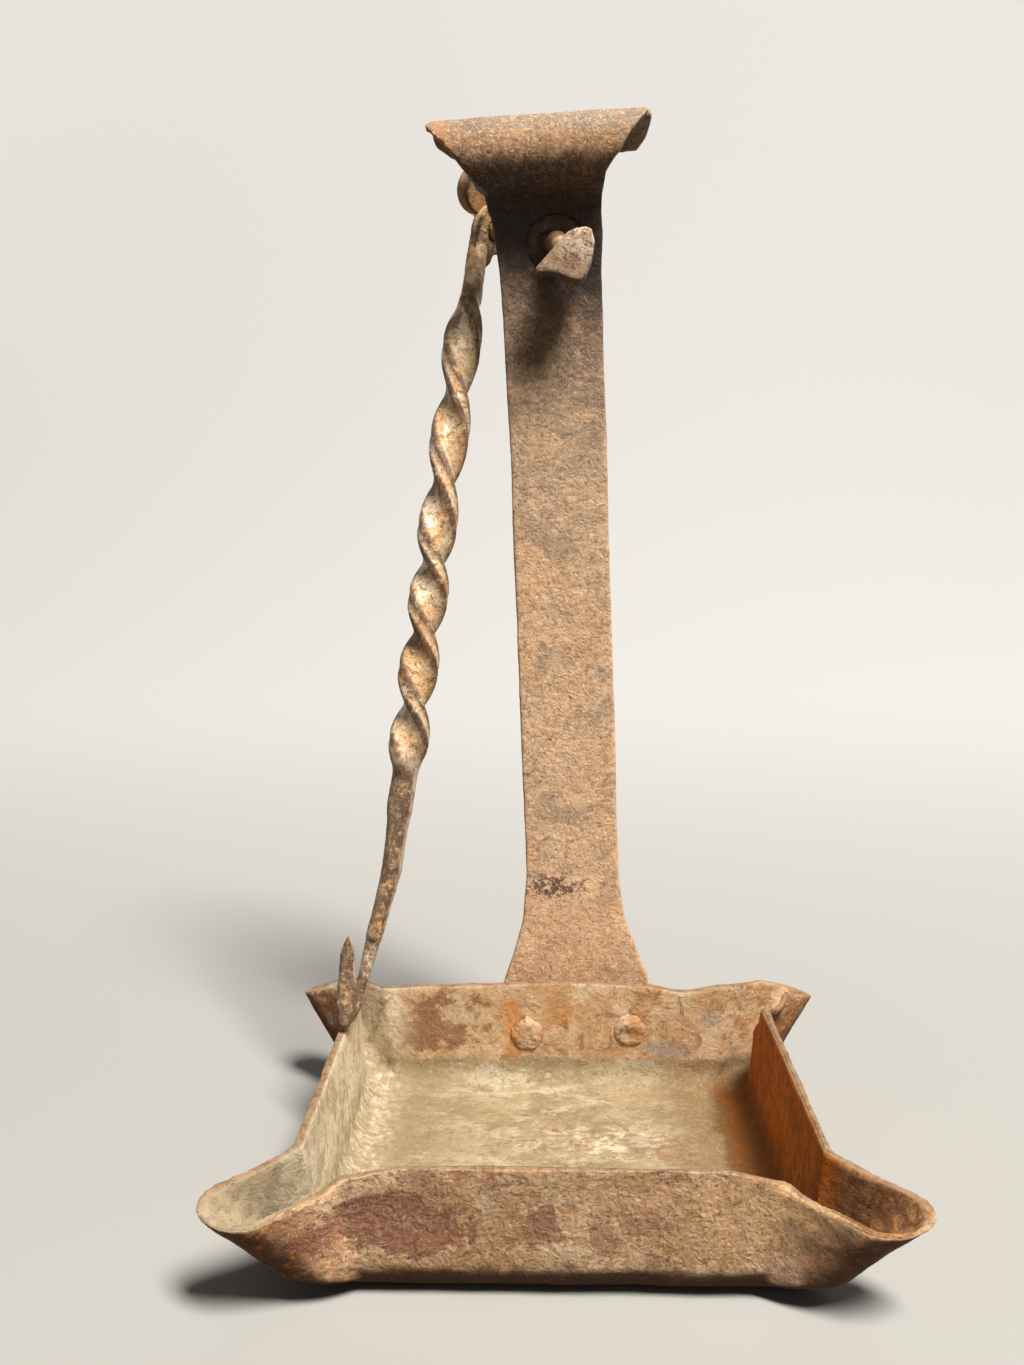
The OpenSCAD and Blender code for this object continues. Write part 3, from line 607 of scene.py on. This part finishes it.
def tray_finish(look):
    """Pale inside and red-brown outside, with bright worn rims."""
    f = Finish("tray_rust")
    split = f.add("ShaderNodeSeparateXYZ")
    f.link(f.place.outputs["Normal"], split.inputs["Vector"])
    upward = split.outputs["Z"]
    inward = f.between(f.facing((0, 0, 24)), 0.05, 0.2)
    level = f.math("MULTIPLY", f.between(upward, 0.2, 0.4), f.between(f.axis("Z"), 22 * MM, 20 * MM))
    inside = f.math("MAXIMUM", inward, level)
    wide = f.between(f.math("ABSOLUTE", f.axis("X")), 49 * MM, 51 * MM)
    deep = f.between(f.math("ABSOLUTE", f.axis("Y")), 34 * MM, 38 * MM)
    hollow = f.between(f.facing_spout((48, 38, 27), (0.78, 0.62, 0.0)), 0.0, 0.15)
    spout = f.math("MULTIPLY", f.math("MULTIPLY", wide, deep), hollow)
    inside = f.math("MAXIMUM", inside, spout)
    tone = f.mix(inside, tray_outside(f, look, upward), tray_inside(f, look))
    rim = f.math("MULTIPLY", f.between(upward, 0.45, 0.8), f.between(f.axis("Z"), 21.5 * MM, 23.5 * MM))
    tone = f.cover(tone, rim, look.rim_tan, 0.9)
    tone = f.cover(tone, f.math("MULTIPLY", rim, f.patches(2.4 * MM, 0.35, 0.04, 8, 0.72)), look.wall_brown, 0.7)
    worn = f.math("MULTIPLY", f.between(f.wear(), 0.62, 0.85), f.patches(3 * MM, 0.5, 0.06, 6, 0.7))
    tone = f.cover(tone, worn, look.edge_pale, 0.35)
    tone = f.cover(tone, f.between(f.wear(), 0.44, 0.25), look.outer_dark, 0.5)
    rough = f.math("ADD", f.math("MULTIPLY", f.noise(5 * MM, 5, 0.65), -0.3), 0.92)
    height = f.math("MULTIPLY", crust_height(f, 1.0 * MM), f.math("SUBTRACT", 1.25, f.math("MULTIPLY", inside, 0.6)))
    return f.close(tone, rough, 0.0, height, 0.6 * MM)


def bar_finish(name, look, metal, rust):
    """Iron rubbed to a pale sheen on some faces, orange-brown with dark edges elsewhere."""
    f = Finish(name)
    tone = f.ramp(f.noise(9 * MM, 5, 0.6, 0.4), (0.42, look.bar_tan), (0.58, look.bar_gold))
    worn = f.patches(8 * MM, 0.48 - 0.3 * rust, 0.09, 7, 0.7, 0.6)
    tone = f.cover(tone, f.patches(6 * MM, 0.25 + 0.4 * rust, 0.03, 8, 0.7, 1.0), look.bar_orange, 0.75)
    tone = f.cover(tone, worn, look.bar_pale, 0.85)
    tone = f.cover(tone, f.patches(4 * MM, 0.22, 0.02, 8, 0.7, 1.0), look.bar_brown, 0.75)
    tone = f.cover(tone, f.patches(1.8 * MM, 0.16, 0.02, 6, 0.7, 0.6), look.bar_dark, 0.7)
    tone = speckle(f, tone, 0.8 * MM, look.bar_dark, look.bar_pale, 0.55)
    border = f.math("MULTIPLY", f.between(f.wear(), 0.5, 0.56), f.patches(3 * MM, 0.7, 0.06, 8, 0.72))
    tone = f.cover(tone, border, look.bar_brown, 0.6)
    rim = f.math("MULTIPLY", f.between(f.wear(), 0.53, 0.6), f.patches(2.4 * MM, 0.66, 0.05, 8, 0.74))
    tone = f.cover(tone, rim, look.bar_dark, 0.8)
    tone = f.cover(tone, f.between(f.wear(), 0.47, 0.36), look.bar_dark, 0.7)
    rough = f.math("SUBTRACT", 0.66, f.math("MULTIPLY", worn, 0.28))
    return f, tone, rough, f.math("MULTIPLY", worn, metal), crust_height(f, 0.7 * MM), 0.24 * MM


def hanger_finish(look):
    """The hanger's rubbed iron, darker and speckled towards the hook, with painted highlights on the lower shank."""
    f, tone, rough, metal, height, depth = bar_finish("hanger_rust", look, 0.3, 0.2)
    low = f.between(f.axis("Z"), 98 * MM, 84 * MM)
    tone = f.cover(tone, low, look.bar_grey, 0.55)
    dark = f.math("MULTIPLY", low, f.patches(3.2 * MM, 0.66, 0.06, 9, 0.78, 0.6, (1.5, 1.5, 0.6)))
    tone = f.cover(tone, dark, look.bar_dark, 0.8)
    fine = f.math("MULTIPLY", low, f.patches(1.1 * MM, 0.4, 0.05, 6, 0.75, 0.4))
    tone = f.cover(tone, fine, look.bar_brown, 0.6)
    grains = f.math("MULTIPLY", low, f.patches(0.9 * MM, 0.16, 0.04, 6, 0.75))
    tone = f.cover(tone, grains, look.bar_pale, 0.4)
    rusty = f.math("MULTIPLY", low, f.patches(5 * MM, 0.07, 0.02, 9, 0.75))
    tone = f.cover(tone, rusty, look.bar_gold, 0.7)
    # Two gold rust spots, and a pale painted highlight on the lower shank
    for middle, tall, colour in (
        ((-41.6, 25, 61.6), 2.4, look.bar_gold), ((-44.6, 23, 53), 3.6, look.bar_gold), ((-46, 21, 45), 4.2, look.bar_pale)
    ):
        broken = f.math("MULTIPLY", f.spot(middle, (2.4, 9, tall), 1.0, 2 * MM, 0.7), f.patches(1.5 * MM, 0.55, 0.1, 8, 0.76))
        tone = f.cover(tone, broken, colour, 0.75)
    split = f.add("ShaderNodeSeparateXYZ")
    f.link(f.place.outputs["Normal"], split.inputs["Vector"])
    # Painted highlight: a pale line on the lower shank's faces that turn to the light on the right
    right_face_highlight = f.math("MULTIPLY", f.between(split.outputs["X"], 0.7, 0.92), f.patches(3 * MM, 0.66, 0.05, 8, 0.74))
    tone = f.cover(tone, f.math("MULTIPLY", right_face_highlight, low), look.bar_pale, 0.6)
    return f.close(tone, rough, metal, height, depth)


def pin_finish(look):
    """The pin's pale mottled head, orange-brown lobe and dark hidden length, with painted shade on the head's
    lower-left and underside and along the hidden length.
    """
    f, tone, rough, metal, height, depth = bar_finish("pin_rust", look, 0.2, 0.0)
    head = f.between(f.axis("Y"), 46 * MM, 44 * MM)
    tone = f.cover(tone, head, look.head_cream, 0.75)
    rusty = f.math("MULTIPLY", f.patches(2.6 * MM, 0.32, 0.03, 8, 0.72, 0.8), head)
    tone = f.cover(tone, rusty, look.bar_orange, 0.65)
    brown = f.math("MULTIPLY", f.patches(1.7 * MM, 0.3, 0.03, 7, 0.72, 0.8), head)
    tone = f.cover(tone, brown, look.bar_brown, 0.6)
    # Painted shade: the head's lower-left, turned away from the light, is darker
    slant = f.math("ADD", f.axis("Z"), f.math("MULTIPLY", f.axis("X"), 0.8))
    slant = f.math("ADD", slant, f.math("MULTIPLY", f.math("SUBTRACT", f.noise(3 * MM, 7, 0.72), 0.5), 14 * MM))
    below = f.math("MULTIPLY", head, f.between(slant, 223 * MM, 211 * MM))
    tone = f.cover(tone, below, look.bar_brown, 0.65)
    specks = f.math("MULTIPLY", f.patches(1.4 * MM, 0.32, 0.04, 8, 0.75), head)
    tone = f.cover(tone, specks, look.bar_dark, 0.7)
    # Painted shade on the faces of the head that turn downwards
    split = f.add("ShaderNodeSeparateXYZ")
    f.link(f.place.outputs["Normal"], split.inputs["Vector"])
    tone = f.cover(tone, f.math("MULTIPLY", head, f.between(split.outputs["Z"], -0.35, -0.65)), look.bar_dark, 0.8)
    neck = f.math("MULTIPLY", f.between(f.axis("Y"), 44 * MM, 46 * MM), f.between(f.axis("Y"), 53 * MM, 50 * MM))
    tone = f.cover(tone, neck, look.bar_brown, 0.85)
    # Painted shade on the length inside the hole and behind the strap
    hidden_painted_shade = f.math("MULTIPLY", f.between(f.axis("Y"), 50 * MM, 53 * MM), f.between(f.axis("Y"), 68 * MM, 64 * MM))
    tone = f.cover(tone, hidden_painted_shade, look.bar_dark, 0.9)
    tone = f.cover(tone, f.between(f.axis("Y"), 66 * MM, 70 * MM), look.lobe_orange, 0.8)
    return f.close(tone, rough, metal, height, depth)


# Settings

def colour_prop(name, red, green, blue):
    return bpy.props.FloatVectorProperty(
        name=name, description=f"Colour: {name.lower()}", subtype="COLOR", size=4, min=0.0, max=1.0,
        default=seen(red, green, blue),
    )


class LampLook(bpy.types.PropertyGroup):
    """Sizes of the wear, colours of the rust and colours of the painted shade, shadow and highlights"""

    pan_grain: bpy.props.FloatProperty(
        name="Tray mesh", description="Width of a face on the tray", default=0.5 * MM, unit="LENGTH"
    )
    dent_size: bpy.props.FloatProperty(
        name="Dent width", description="Width of the hammered dents", default=14 * MM, unit="LENGTH"
    )
    dent_depth: bpy.props.FloatProperty(
        name="Dent depth", description="Depth of the hammered dents", default=0.35 * MM, unit="LENGTH"
    )
    floor_size: bpy.props.FloatProperty(
        name="Floor", description="Width of the studio floor", default=5.0, unit="LENGTH"
    )
    key_power: bpy.props.FloatProperty(
        name="Key lamp", description="Power of the key lamp", default=152.0, unit="POWER"
    )
    fill_power: bpy.props.FloatProperty(
        name="Fill lamp", description="Power of the large soft lamp on the left", default=0.4, unit="POWER"
    )
    back_power: bpy.props.FloatProperty(
        name="Back lamp", description="Power of the soft lamp behind the object", default=5.0, unit="POWER"
    )
    sky_strength: bpy.props.FloatProperty(
        name="Surround", description="Light from the surroundings", default=0.05, subtype="FACTOR"
    )
    strap_tan: colour_prop("Strap tan", 228, 190, 154)
    strap_orange: colour_prop("Strap orange", 234, 188, 142)
    strap_grey: colour_prop("Strap grey brown", 172, 148, 124)
    strap_mottle: colour_prop("Strap mottling", 184, 144, 110)
    # Dark specks, also used for the painted shade in the mottling below the pin
    strap_dark: colour_prop("Strap specks", 112, 84, 64)
    roll_amber: colour_prop("Roll amber", 184, 138, 94)
    roll_pale: colour_prop("Roll pale", 140, 124, 106)
    # Painted shade below the pin head
    strap_painted_shade: colour_prop("Strap painted shade", 104, 82, 66)
    # Painted shadow of the roll on the strap
    strap_painted_shadow: colour_prop("Strap painted shadow", 26, 13, 9)
    # Dark mottling of the roll, also its painted shade below
    roll_dark: colour_prop("Roll dark", 84, 58, 40)
    flap_green: colour_prop("Roll flap", 196, 188, 160)
    # Pale scale, also the painted highlight on the roll's cut end
    pale_scale: colour_prop("Pale scale", 238, 218, 188)
    pit_dark: colour_prop("Dark pits", 74, 42, 32)
    outer_burgundy: colour_prop("Outside burgundy", 172, 116, 88)
    outer_red: colour_prop("Outside red brown", 186, 132, 98)
    outer_brown: colour_prop("Outside brown", 220, 172, 124)
    outer_tan: colour_prop("Outside tan", 244, 204, 162)
    outer_orange: colour_prop("Outside orange", 220, 156, 96)
    outer_flecks: colour_prop("Outside flecks", 196, 122, 58)
    outer_gold: colour_prop("Outside gold", 248, 200, 146)
    # Outside dark, also the painted shade in the front-right spout's trough
    outer_dark: colour_prop("Outside dark", 84, 56, 40)
    side_rust: colour_prop("Sides rust", 158, 98, 48)
    # Painted shade on undersides
    underside_painted_shade: colour_prop("Underside painted shade", 92, 52, 24)
    # Floor olive, also the painted shade on the brightly lit left floor and round corner
    floor_olive: colour_prop("Floor olive", 138, 121, 89)
    floor_tan: colour_prop("Floor tan", 164, 145, 112)
    floor_pale: colour_prop("Floor pale", 184, 172, 146)
    # Floor brown, also painted shade in the front-left spout's throat and towards the right wall
    floor_brown: colour_prop("Floor brown", 128, 102, 68)
    floor_white: colour_prop("Floor flecks", 208, 194, 168)
    floor_rust: colour_prop("Floor rust", 150, 102, 60)
    wall_brown: colour_prop("Inside brown", 126, 88, 58)
    wall_deep: colour_prop("Inside deep brown", 112, 70, 44)
    wall_tan: colour_prop("Inside tan", 182, 143, 101)
    wall_pale: colour_prop("Inside pale", 204, 176, 140)
    wall_orange: colour_prop("Inside orange", 180, 128, 78)
    # Painted shade colour of the right wall
    wall_painted_shade_amber: colour_prop("Inside painted shade amber", 204, 112, 4)
    # Deeper painted shade on the right wall
    painted_shade_deep_amber: colour_prop("Inside painted shade deep amber", 128, 67, 16)
    streak_orange: colour_prop("Orange streak", 196, 126, 54)
    grey_blue: colour_prop("Grey spots", 142, 132, 124)
    scoop_brown: colour_prop("Scoop brown", 104, 68, 40)
    scoop_pale: colour_prop("Scoop pale", 168, 150, 122)
    # Painted shadow at the foot of the right wall
    painted_shadow_brown: colour_prop("Inside painted shadow", 100, 66, 28)
    scoop_grey: colour_prop("Scoop grey", 148, 136, 112)
    rim_tan: colour_prop("Rim tan", 150, 124, 96)
    left_pale: colour_prop("Left wall pale", 224, 209, 180)
    left_grey: colour_prop("Left wall grey", 188, 174, 146)
    edge_pale: colour_prop("Worn edges", 206, 178, 142)
    # Bar brown, also the painted shade on the pin head's lower-left
    bar_brown: colour_prop("Bar brown", 128, 90, 58)
    bar_orange: colour_prop("Bar orange", 160, 104, 56)
    bar_tan: colour_prop("Bar tan", 202, 162, 118)
    bar_gold: colour_prop("Bar gold", 212, 168, 114)
    bar_grey: colour_prop("Bar grey", 146, 128, 106)
    # Dark specks, also the painted shade on the pin
    bar_dark: colour_prop("Bar specks", 62, 44, 32)
    # Worn iron, also the painted highlights on the hanger
    bar_pale: colour_prop("Bar worn", 228, 208, 178)
    head_cream: colour_prop("Pin head cream", 230, 210, 182)
    lobe_orange: colour_prop("Pin lobe orange", 176, 116, 60)


# Shapes that the hammer left

def shape_tray(piece):
    """Bends the tray's rims as in the photograph: low waves at the back, a peak at the right, soft shoulders."""
    for x, rise, reach in ((2, 1.2, 34), (-44, -0.6, 9), (33, -1.2, 9), (46, 0.6, 8)):
        pull(piece, Vector((x, 49, 28)) * MM, (0, 0, rise * MM), reach * MM)
    pull(piece, Vector((53, 41, 28)) * MM, (3.4 * MM, 0, -2.6 * MM), 9 * MM)
    for side in (-1, 1):
        pull(piece, Vector((side * 45, -49, 28)) * MM, (0, 0, -2.6 * MM), 15 * MM)
        pull(piece, Vector((side * 68, -52, 25)) * MM, ((1.55 + 0.45 * side) * side * MM, -0.3 * MM, -0.5 * MM), 12 * MM)


# Operators

class LAMP_OT_tray(bpy.types.Operator):
    """Builds the hammered tray with its four spouts"""

    bl_idname = "lamp.tray"
    bl_label = "Tray"

    def execute(self, context):
        look = context.scene.lamp_look
        piece = forged_copy("pan", "tray_forged", look.pan_grain, 12)
        shape_tray(piece)
        dent(piece, look.dent_size, look.dent_depth)
        dent(piece, 3 * MM, 0.1 * MM)
        finish_piece(piece, "pan", "lamp", tray_finish(look))
        return {"FINISHED"}


class LAMP_OT_strap(bpy.types.Operator):
    """Builds the strap with its flared foot and rolled top"""

    bl_idname = "lamp.strap"
    bl_label = "Strap"

    def execute(self, context):
        look = context.scene.lamp_look
        piece = forged_copy("back_arm", "strap_forged", 0.45 * MM, 6)
        dent(piece, 18 * MM, 0.25 * MM)
        dent(piece, 3 * MM, 0.08 * MM)
        finish_piece(piece, "back_arm", "lamp", strap_finish(look))
        return {"FINISHED"}


class LAMP_OT_rivets(bpy.types.Operator):
    """Builds the two worn rivets"""

    bl_idname = "lamp.rivets"
    bl_label = "Rivets"

    def execute(self, context):
        look = context.scene.lamp_look
        material = tray_finish(look)
        material.name = "rivet_rust"
        for side in ("left", "right"):
            piece = forged_copy(f"rivet_{side}", f"rivet_{side}_worn", 0.3 * MM, 20)
            top = min(piece.data.vertices, key=lambda v: v.co.y).co.copy()
            pull(piece, top, (0, 0.9 * MM, 0), 4.2 * MM)
            dent(piece, 2.6 * MM, 0.45 * MM)
            finish_piece(piece, f"rivet_{side}", "lamp", material)
        return {"FINISHED"}


class LAMP_OT_pin(bpy.types.Operator):
    """Builds the swivel pin with its three-cornered head"""

    bl_idname = "lamp.pin"
    bl_label = "Swivel pin"

    def execute(self, context):
        look = context.scene.lamp_look
        piece = forged_copy("swivel_pin", "swivel_pin_forged", 0.3 * MM, 10)
        finish_piece(piece, "swivel_pin", "pin", pin_finish(look))
        return {"FINISHED"}


class LAMP_OT_hanger(bpy.types.Operator):
    """Builds the twisted hanger with its hook"""

    bl_idname = "lamp.hanger"
    bl_label = "Hanger"

    def execute(self, context):
        look = context.scene.lamp_look
        piece = forged_copy("hanger", "hanger_forged", 0.35 * MM, 5)
        blend(piece, (-37.7, 34.2, 87), 9, 240)
        blend(piece, (-22.7, 66.0, 208), 7, 130)
        blend(piece, (-40.8, 26.8, 65), 14, 60)
        swell(piece, Vector((-38.4, 33.4, 83)) * MM, (1.4, 1.25, 1.0), 9 * MM)
        dent(piece, 6 * MM, 0.1 * MM)
        finish_piece(piece, "hanger", "hook_arm", hanger_finish(look))
        return {"FINISHED"}


class LAMP_OT_stage(bpy.types.Operator):
    """Builds the pale floor, the soft lamps and the camera"""

    bl_idname = "lamp.stage"
    bl_label = "Stage"

    def execute(self, context):
        look = context.scene.lamp_look
        scene = context.scene
        floor = self.sweep(look.floor_size)
        floor.data.materials.append(self.paper())
        self.lamp("key", (0.30, -0.36, 0.88), 2.6, (0.64, 1.15), look.key_power, (1.0, 0.955, 0.89))
        self.lamp("fill_left", (-0.8, -0.7, 0.5), 1.3, (1.0, 1.0), look.fill_power, (0.97, 0.98, 1.0))
        self.lamp("fill_right", (0.9, 0.3, 0.4), 1.3, (0.9, 0.9), look.fill_power * 0.5, (1.0, 0.98, 0.95))
        self.lamp("back", (0.2, 1.0, 0.6), 1.7, (0.9, 0.9), look.back_power, (1.0, 0.98, 0.95))
        scene.world = self.surroundings(look.sky_strength)
        self.camera(scene)
        scene.view_settings.view_transform = "Standard"
        return {"FINISHED"}

    def sweep(self, size):
        """A floor that curves up into a backdrop."""
        bpy.ops.object.select_all(action="DESELECT")
        bpy.ops.mesh.primitive_plane_add(size=size, location=(0, 0, 0))
        floor = bpy.context.active_object
        floor.name = "studio_floor"
        bpy.ops.object.mode_set(mode="EDIT")
        bpy.ops.mesh.select_all(action="DESELECT")
        bpy.ops.object.mode_set(mode="OBJECT")
        for vertex in floor.data.vertices:
            vertex.co.y -= size * 0.2
            vertex.select = vertex.co.y > 0
        for edge in floor.data.edges:
            edge.select = all(floor.data.vertices[v].select for v in edge.vertices)
        bpy.ops.object.mode_set(mode="EDIT")
        bpy.ops.mesh.select_mode(type="EDGE")
        bpy.ops.mesh.extrude_region_move(TRANSFORM_OT_translate={"value": (0, 0, size * 0.6)})
        bpy.ops.mesh.select_all(action="SELECT")
        bpy.ops.mesh.normals_make_consistent(inside=False)
        bpy.ops.object.mode_set(mode="OBJECT")
        apply_modifier(floor, "BEVEL", width=size * 0.2, segments=24, limit_method="ANGLE")
        only(floor)
        bpy.ops.object.shade_smooth()
        return floor

    def paper(self):
        """Pale paper that throws little light back onto the lamp and runs into the surround far away."""
        paper = Finish("studio_paper")
        paper.shader.inputs["Roughness"].default_value = 0.9
        direct = self.directly(paper)
        length = paper.add("ShaderNodeVectorMath", operation="LENGTH")
        paper.link(paper.where, length.inputs[0])
        far = paper.between(length.outputs["Value"], 0.5, 2.1)
        near_colour = paper.mix(far, seen(162, 161, 158), seen(0, 0, 0))
        paper.put(paper.shader.inputs["Base Color"], paper.mix(direct, seen(56, 51, 46), near_colour))
        glow_colour = paper.mix(far, seen(206, 205, 202), seen(232, 228, 221))
        paper.put(paper.shader.inputs["Emission Color"], glow_colour)
        glow = paper.math("MULTIPLY", paper.between(paper.axis("Y"), 0.0, 0.7), 0.45)
        glow = paper.math("ADD", paper.math("MULTIPLY", glow, paper.math("SUBTRACT", 1.0, far)), far)
        paper.put(paper.shader.inputs["Emission Strength"], paper.math("MULTIPLY", glow, direct))
        return paper.material

    def directly(self, finish):
        """1 for rays from the camera and for mirrored or clear ones, 0 for the light that falls on things."""
        path = finish.add("ShaderNodeLightPath")
        share = finish.math("MAXIMUM", path.outputs["Is Camera Ray"], path.outputs["Is Glossy Ray"])
        return finish.math("MAXIMUM", share, path.outputs["Is Transmission Ray"])

    def surroundings(self, strength):
        """A pale surround that gives only a little light."""
        world = bpy.data.worlds.new("studio")
        world.use_nodes = True
        nodes, links = world.node_tree.nodes, world.node_tree.links
        sky = nodes["Background"]
        sky.inputs["Color"].default_value = seen(232, 228, 221)
        path = nodes.new("ShaderNodeLightPath")
        seen_directly = path.outputs["Is Camera Ray"]
        for kind in ("Is Glossy Ray", "Is Transmission Ray"):
            either = nodes.new("ShaderNodeMath")
            either.operation = "MAXIMUM"
            links.new(seen_directly, either.inputs[0])
            links.new(path.outputs[kind], either.inputs[1])
            seen_directly = either.outputs[0]
        level = nodes.new("ShaderNodeMapRange")
        level.inputs["To Min"].default_value = strength
        level.inputs["To Max"].default_value = 1.0
        links.new(seen_directly, level.inputs["Value"])
        links.new(level.outputs["Result"], sky.inputs["Strength"])
        return world

    def lamp(self, name, towards, distance, size, power, colour):
        """An area lamp that looks at the middle of the object."""
        middle = Vector((0, 0, 0.1))
        data = bpy.data.lights.new(name, "AREA")
        data.shape = "ELLIPSE"
        data.size, data.size_y = size
        data.energy = power
        data.color = colour
        lamp = bpy.data.objects.new(name, data)
        lamp.location = middle + Vector(towards).normalized() * distance
        lamp.rotation_euler = (middle - lamp.location).to_track_quat("-Z", "Y").to_euler()
        bpy.context.scene.collection.objects.link(lamp)

    def camera(self, scene):
        """The camera at the photograph's place."""
        data = bpy.data.cameras.new("camera")
        data.sensor_width = SENSOR
        data.lens = SENSOR * FOCAL_PX / FRAME_H_PX
        data.clip_start = 0.01
        camera = bpy.data.objects.new("camera", data)
        camera.location = EYE
        camera.rotation_euler = Euler((math.pi / 2 - EYE_DOWN, 0.0, EYE_LEFT))
        camera.rotation_euler.rotate_axis("Z", -EYE_ROLL)
        scene.collection.objects.link(camera)
        scene.camera = camera


class LAMP_PT_panel(bpy.types.Panel):
    """Lists the steps that build the lamp"""

    bl_idname = "LAMP_PT_panel"
    bl_label = "Forged grease lamp"
    bl_space_type = "VIEW_3D"
    bl_region_type = "UI"
    bl_category = "Lamp"

    def draw(self, context):
        for step in STEPS:
            self.layout.operator(step.bl_idname)
        look = context.scene.lamp_look
        for key in LampLook.__annotations__:
            self.layout.prop(look, key)


STEPS = (LAMP_OT_tray, LAMP_OT_strap, LAMP_OT_rivets, LAMP_OT_pin, LAMP_OT_hanger, LAMP_OT_stage)
CLASSES = (LampLook, *STEPS, LAMP_PT_panel)


def register():
    for kind in CLASSES:
        bpy.utils.register_class(kind)
    bpy.types.Scene.lamp_look = bpy.props.PointerProperty(type=LampLook)


def unregister():
    del bpy.types.Scene.lamp_look
    for kind in reversed(CLASSES):
        bpy.utils.unregister_class(kind)


def main():
    register()
    bpy.ops.lamp.tray()
    bpy.ops.lamp.strap()
    bpy.ops.lamp.rivets()
    bpy.ops.lamp.pin()
    bpy.ops.lamp.hanger()
    bpy.ops.lamp.stage()


if __name__ == "__main__":
    main()
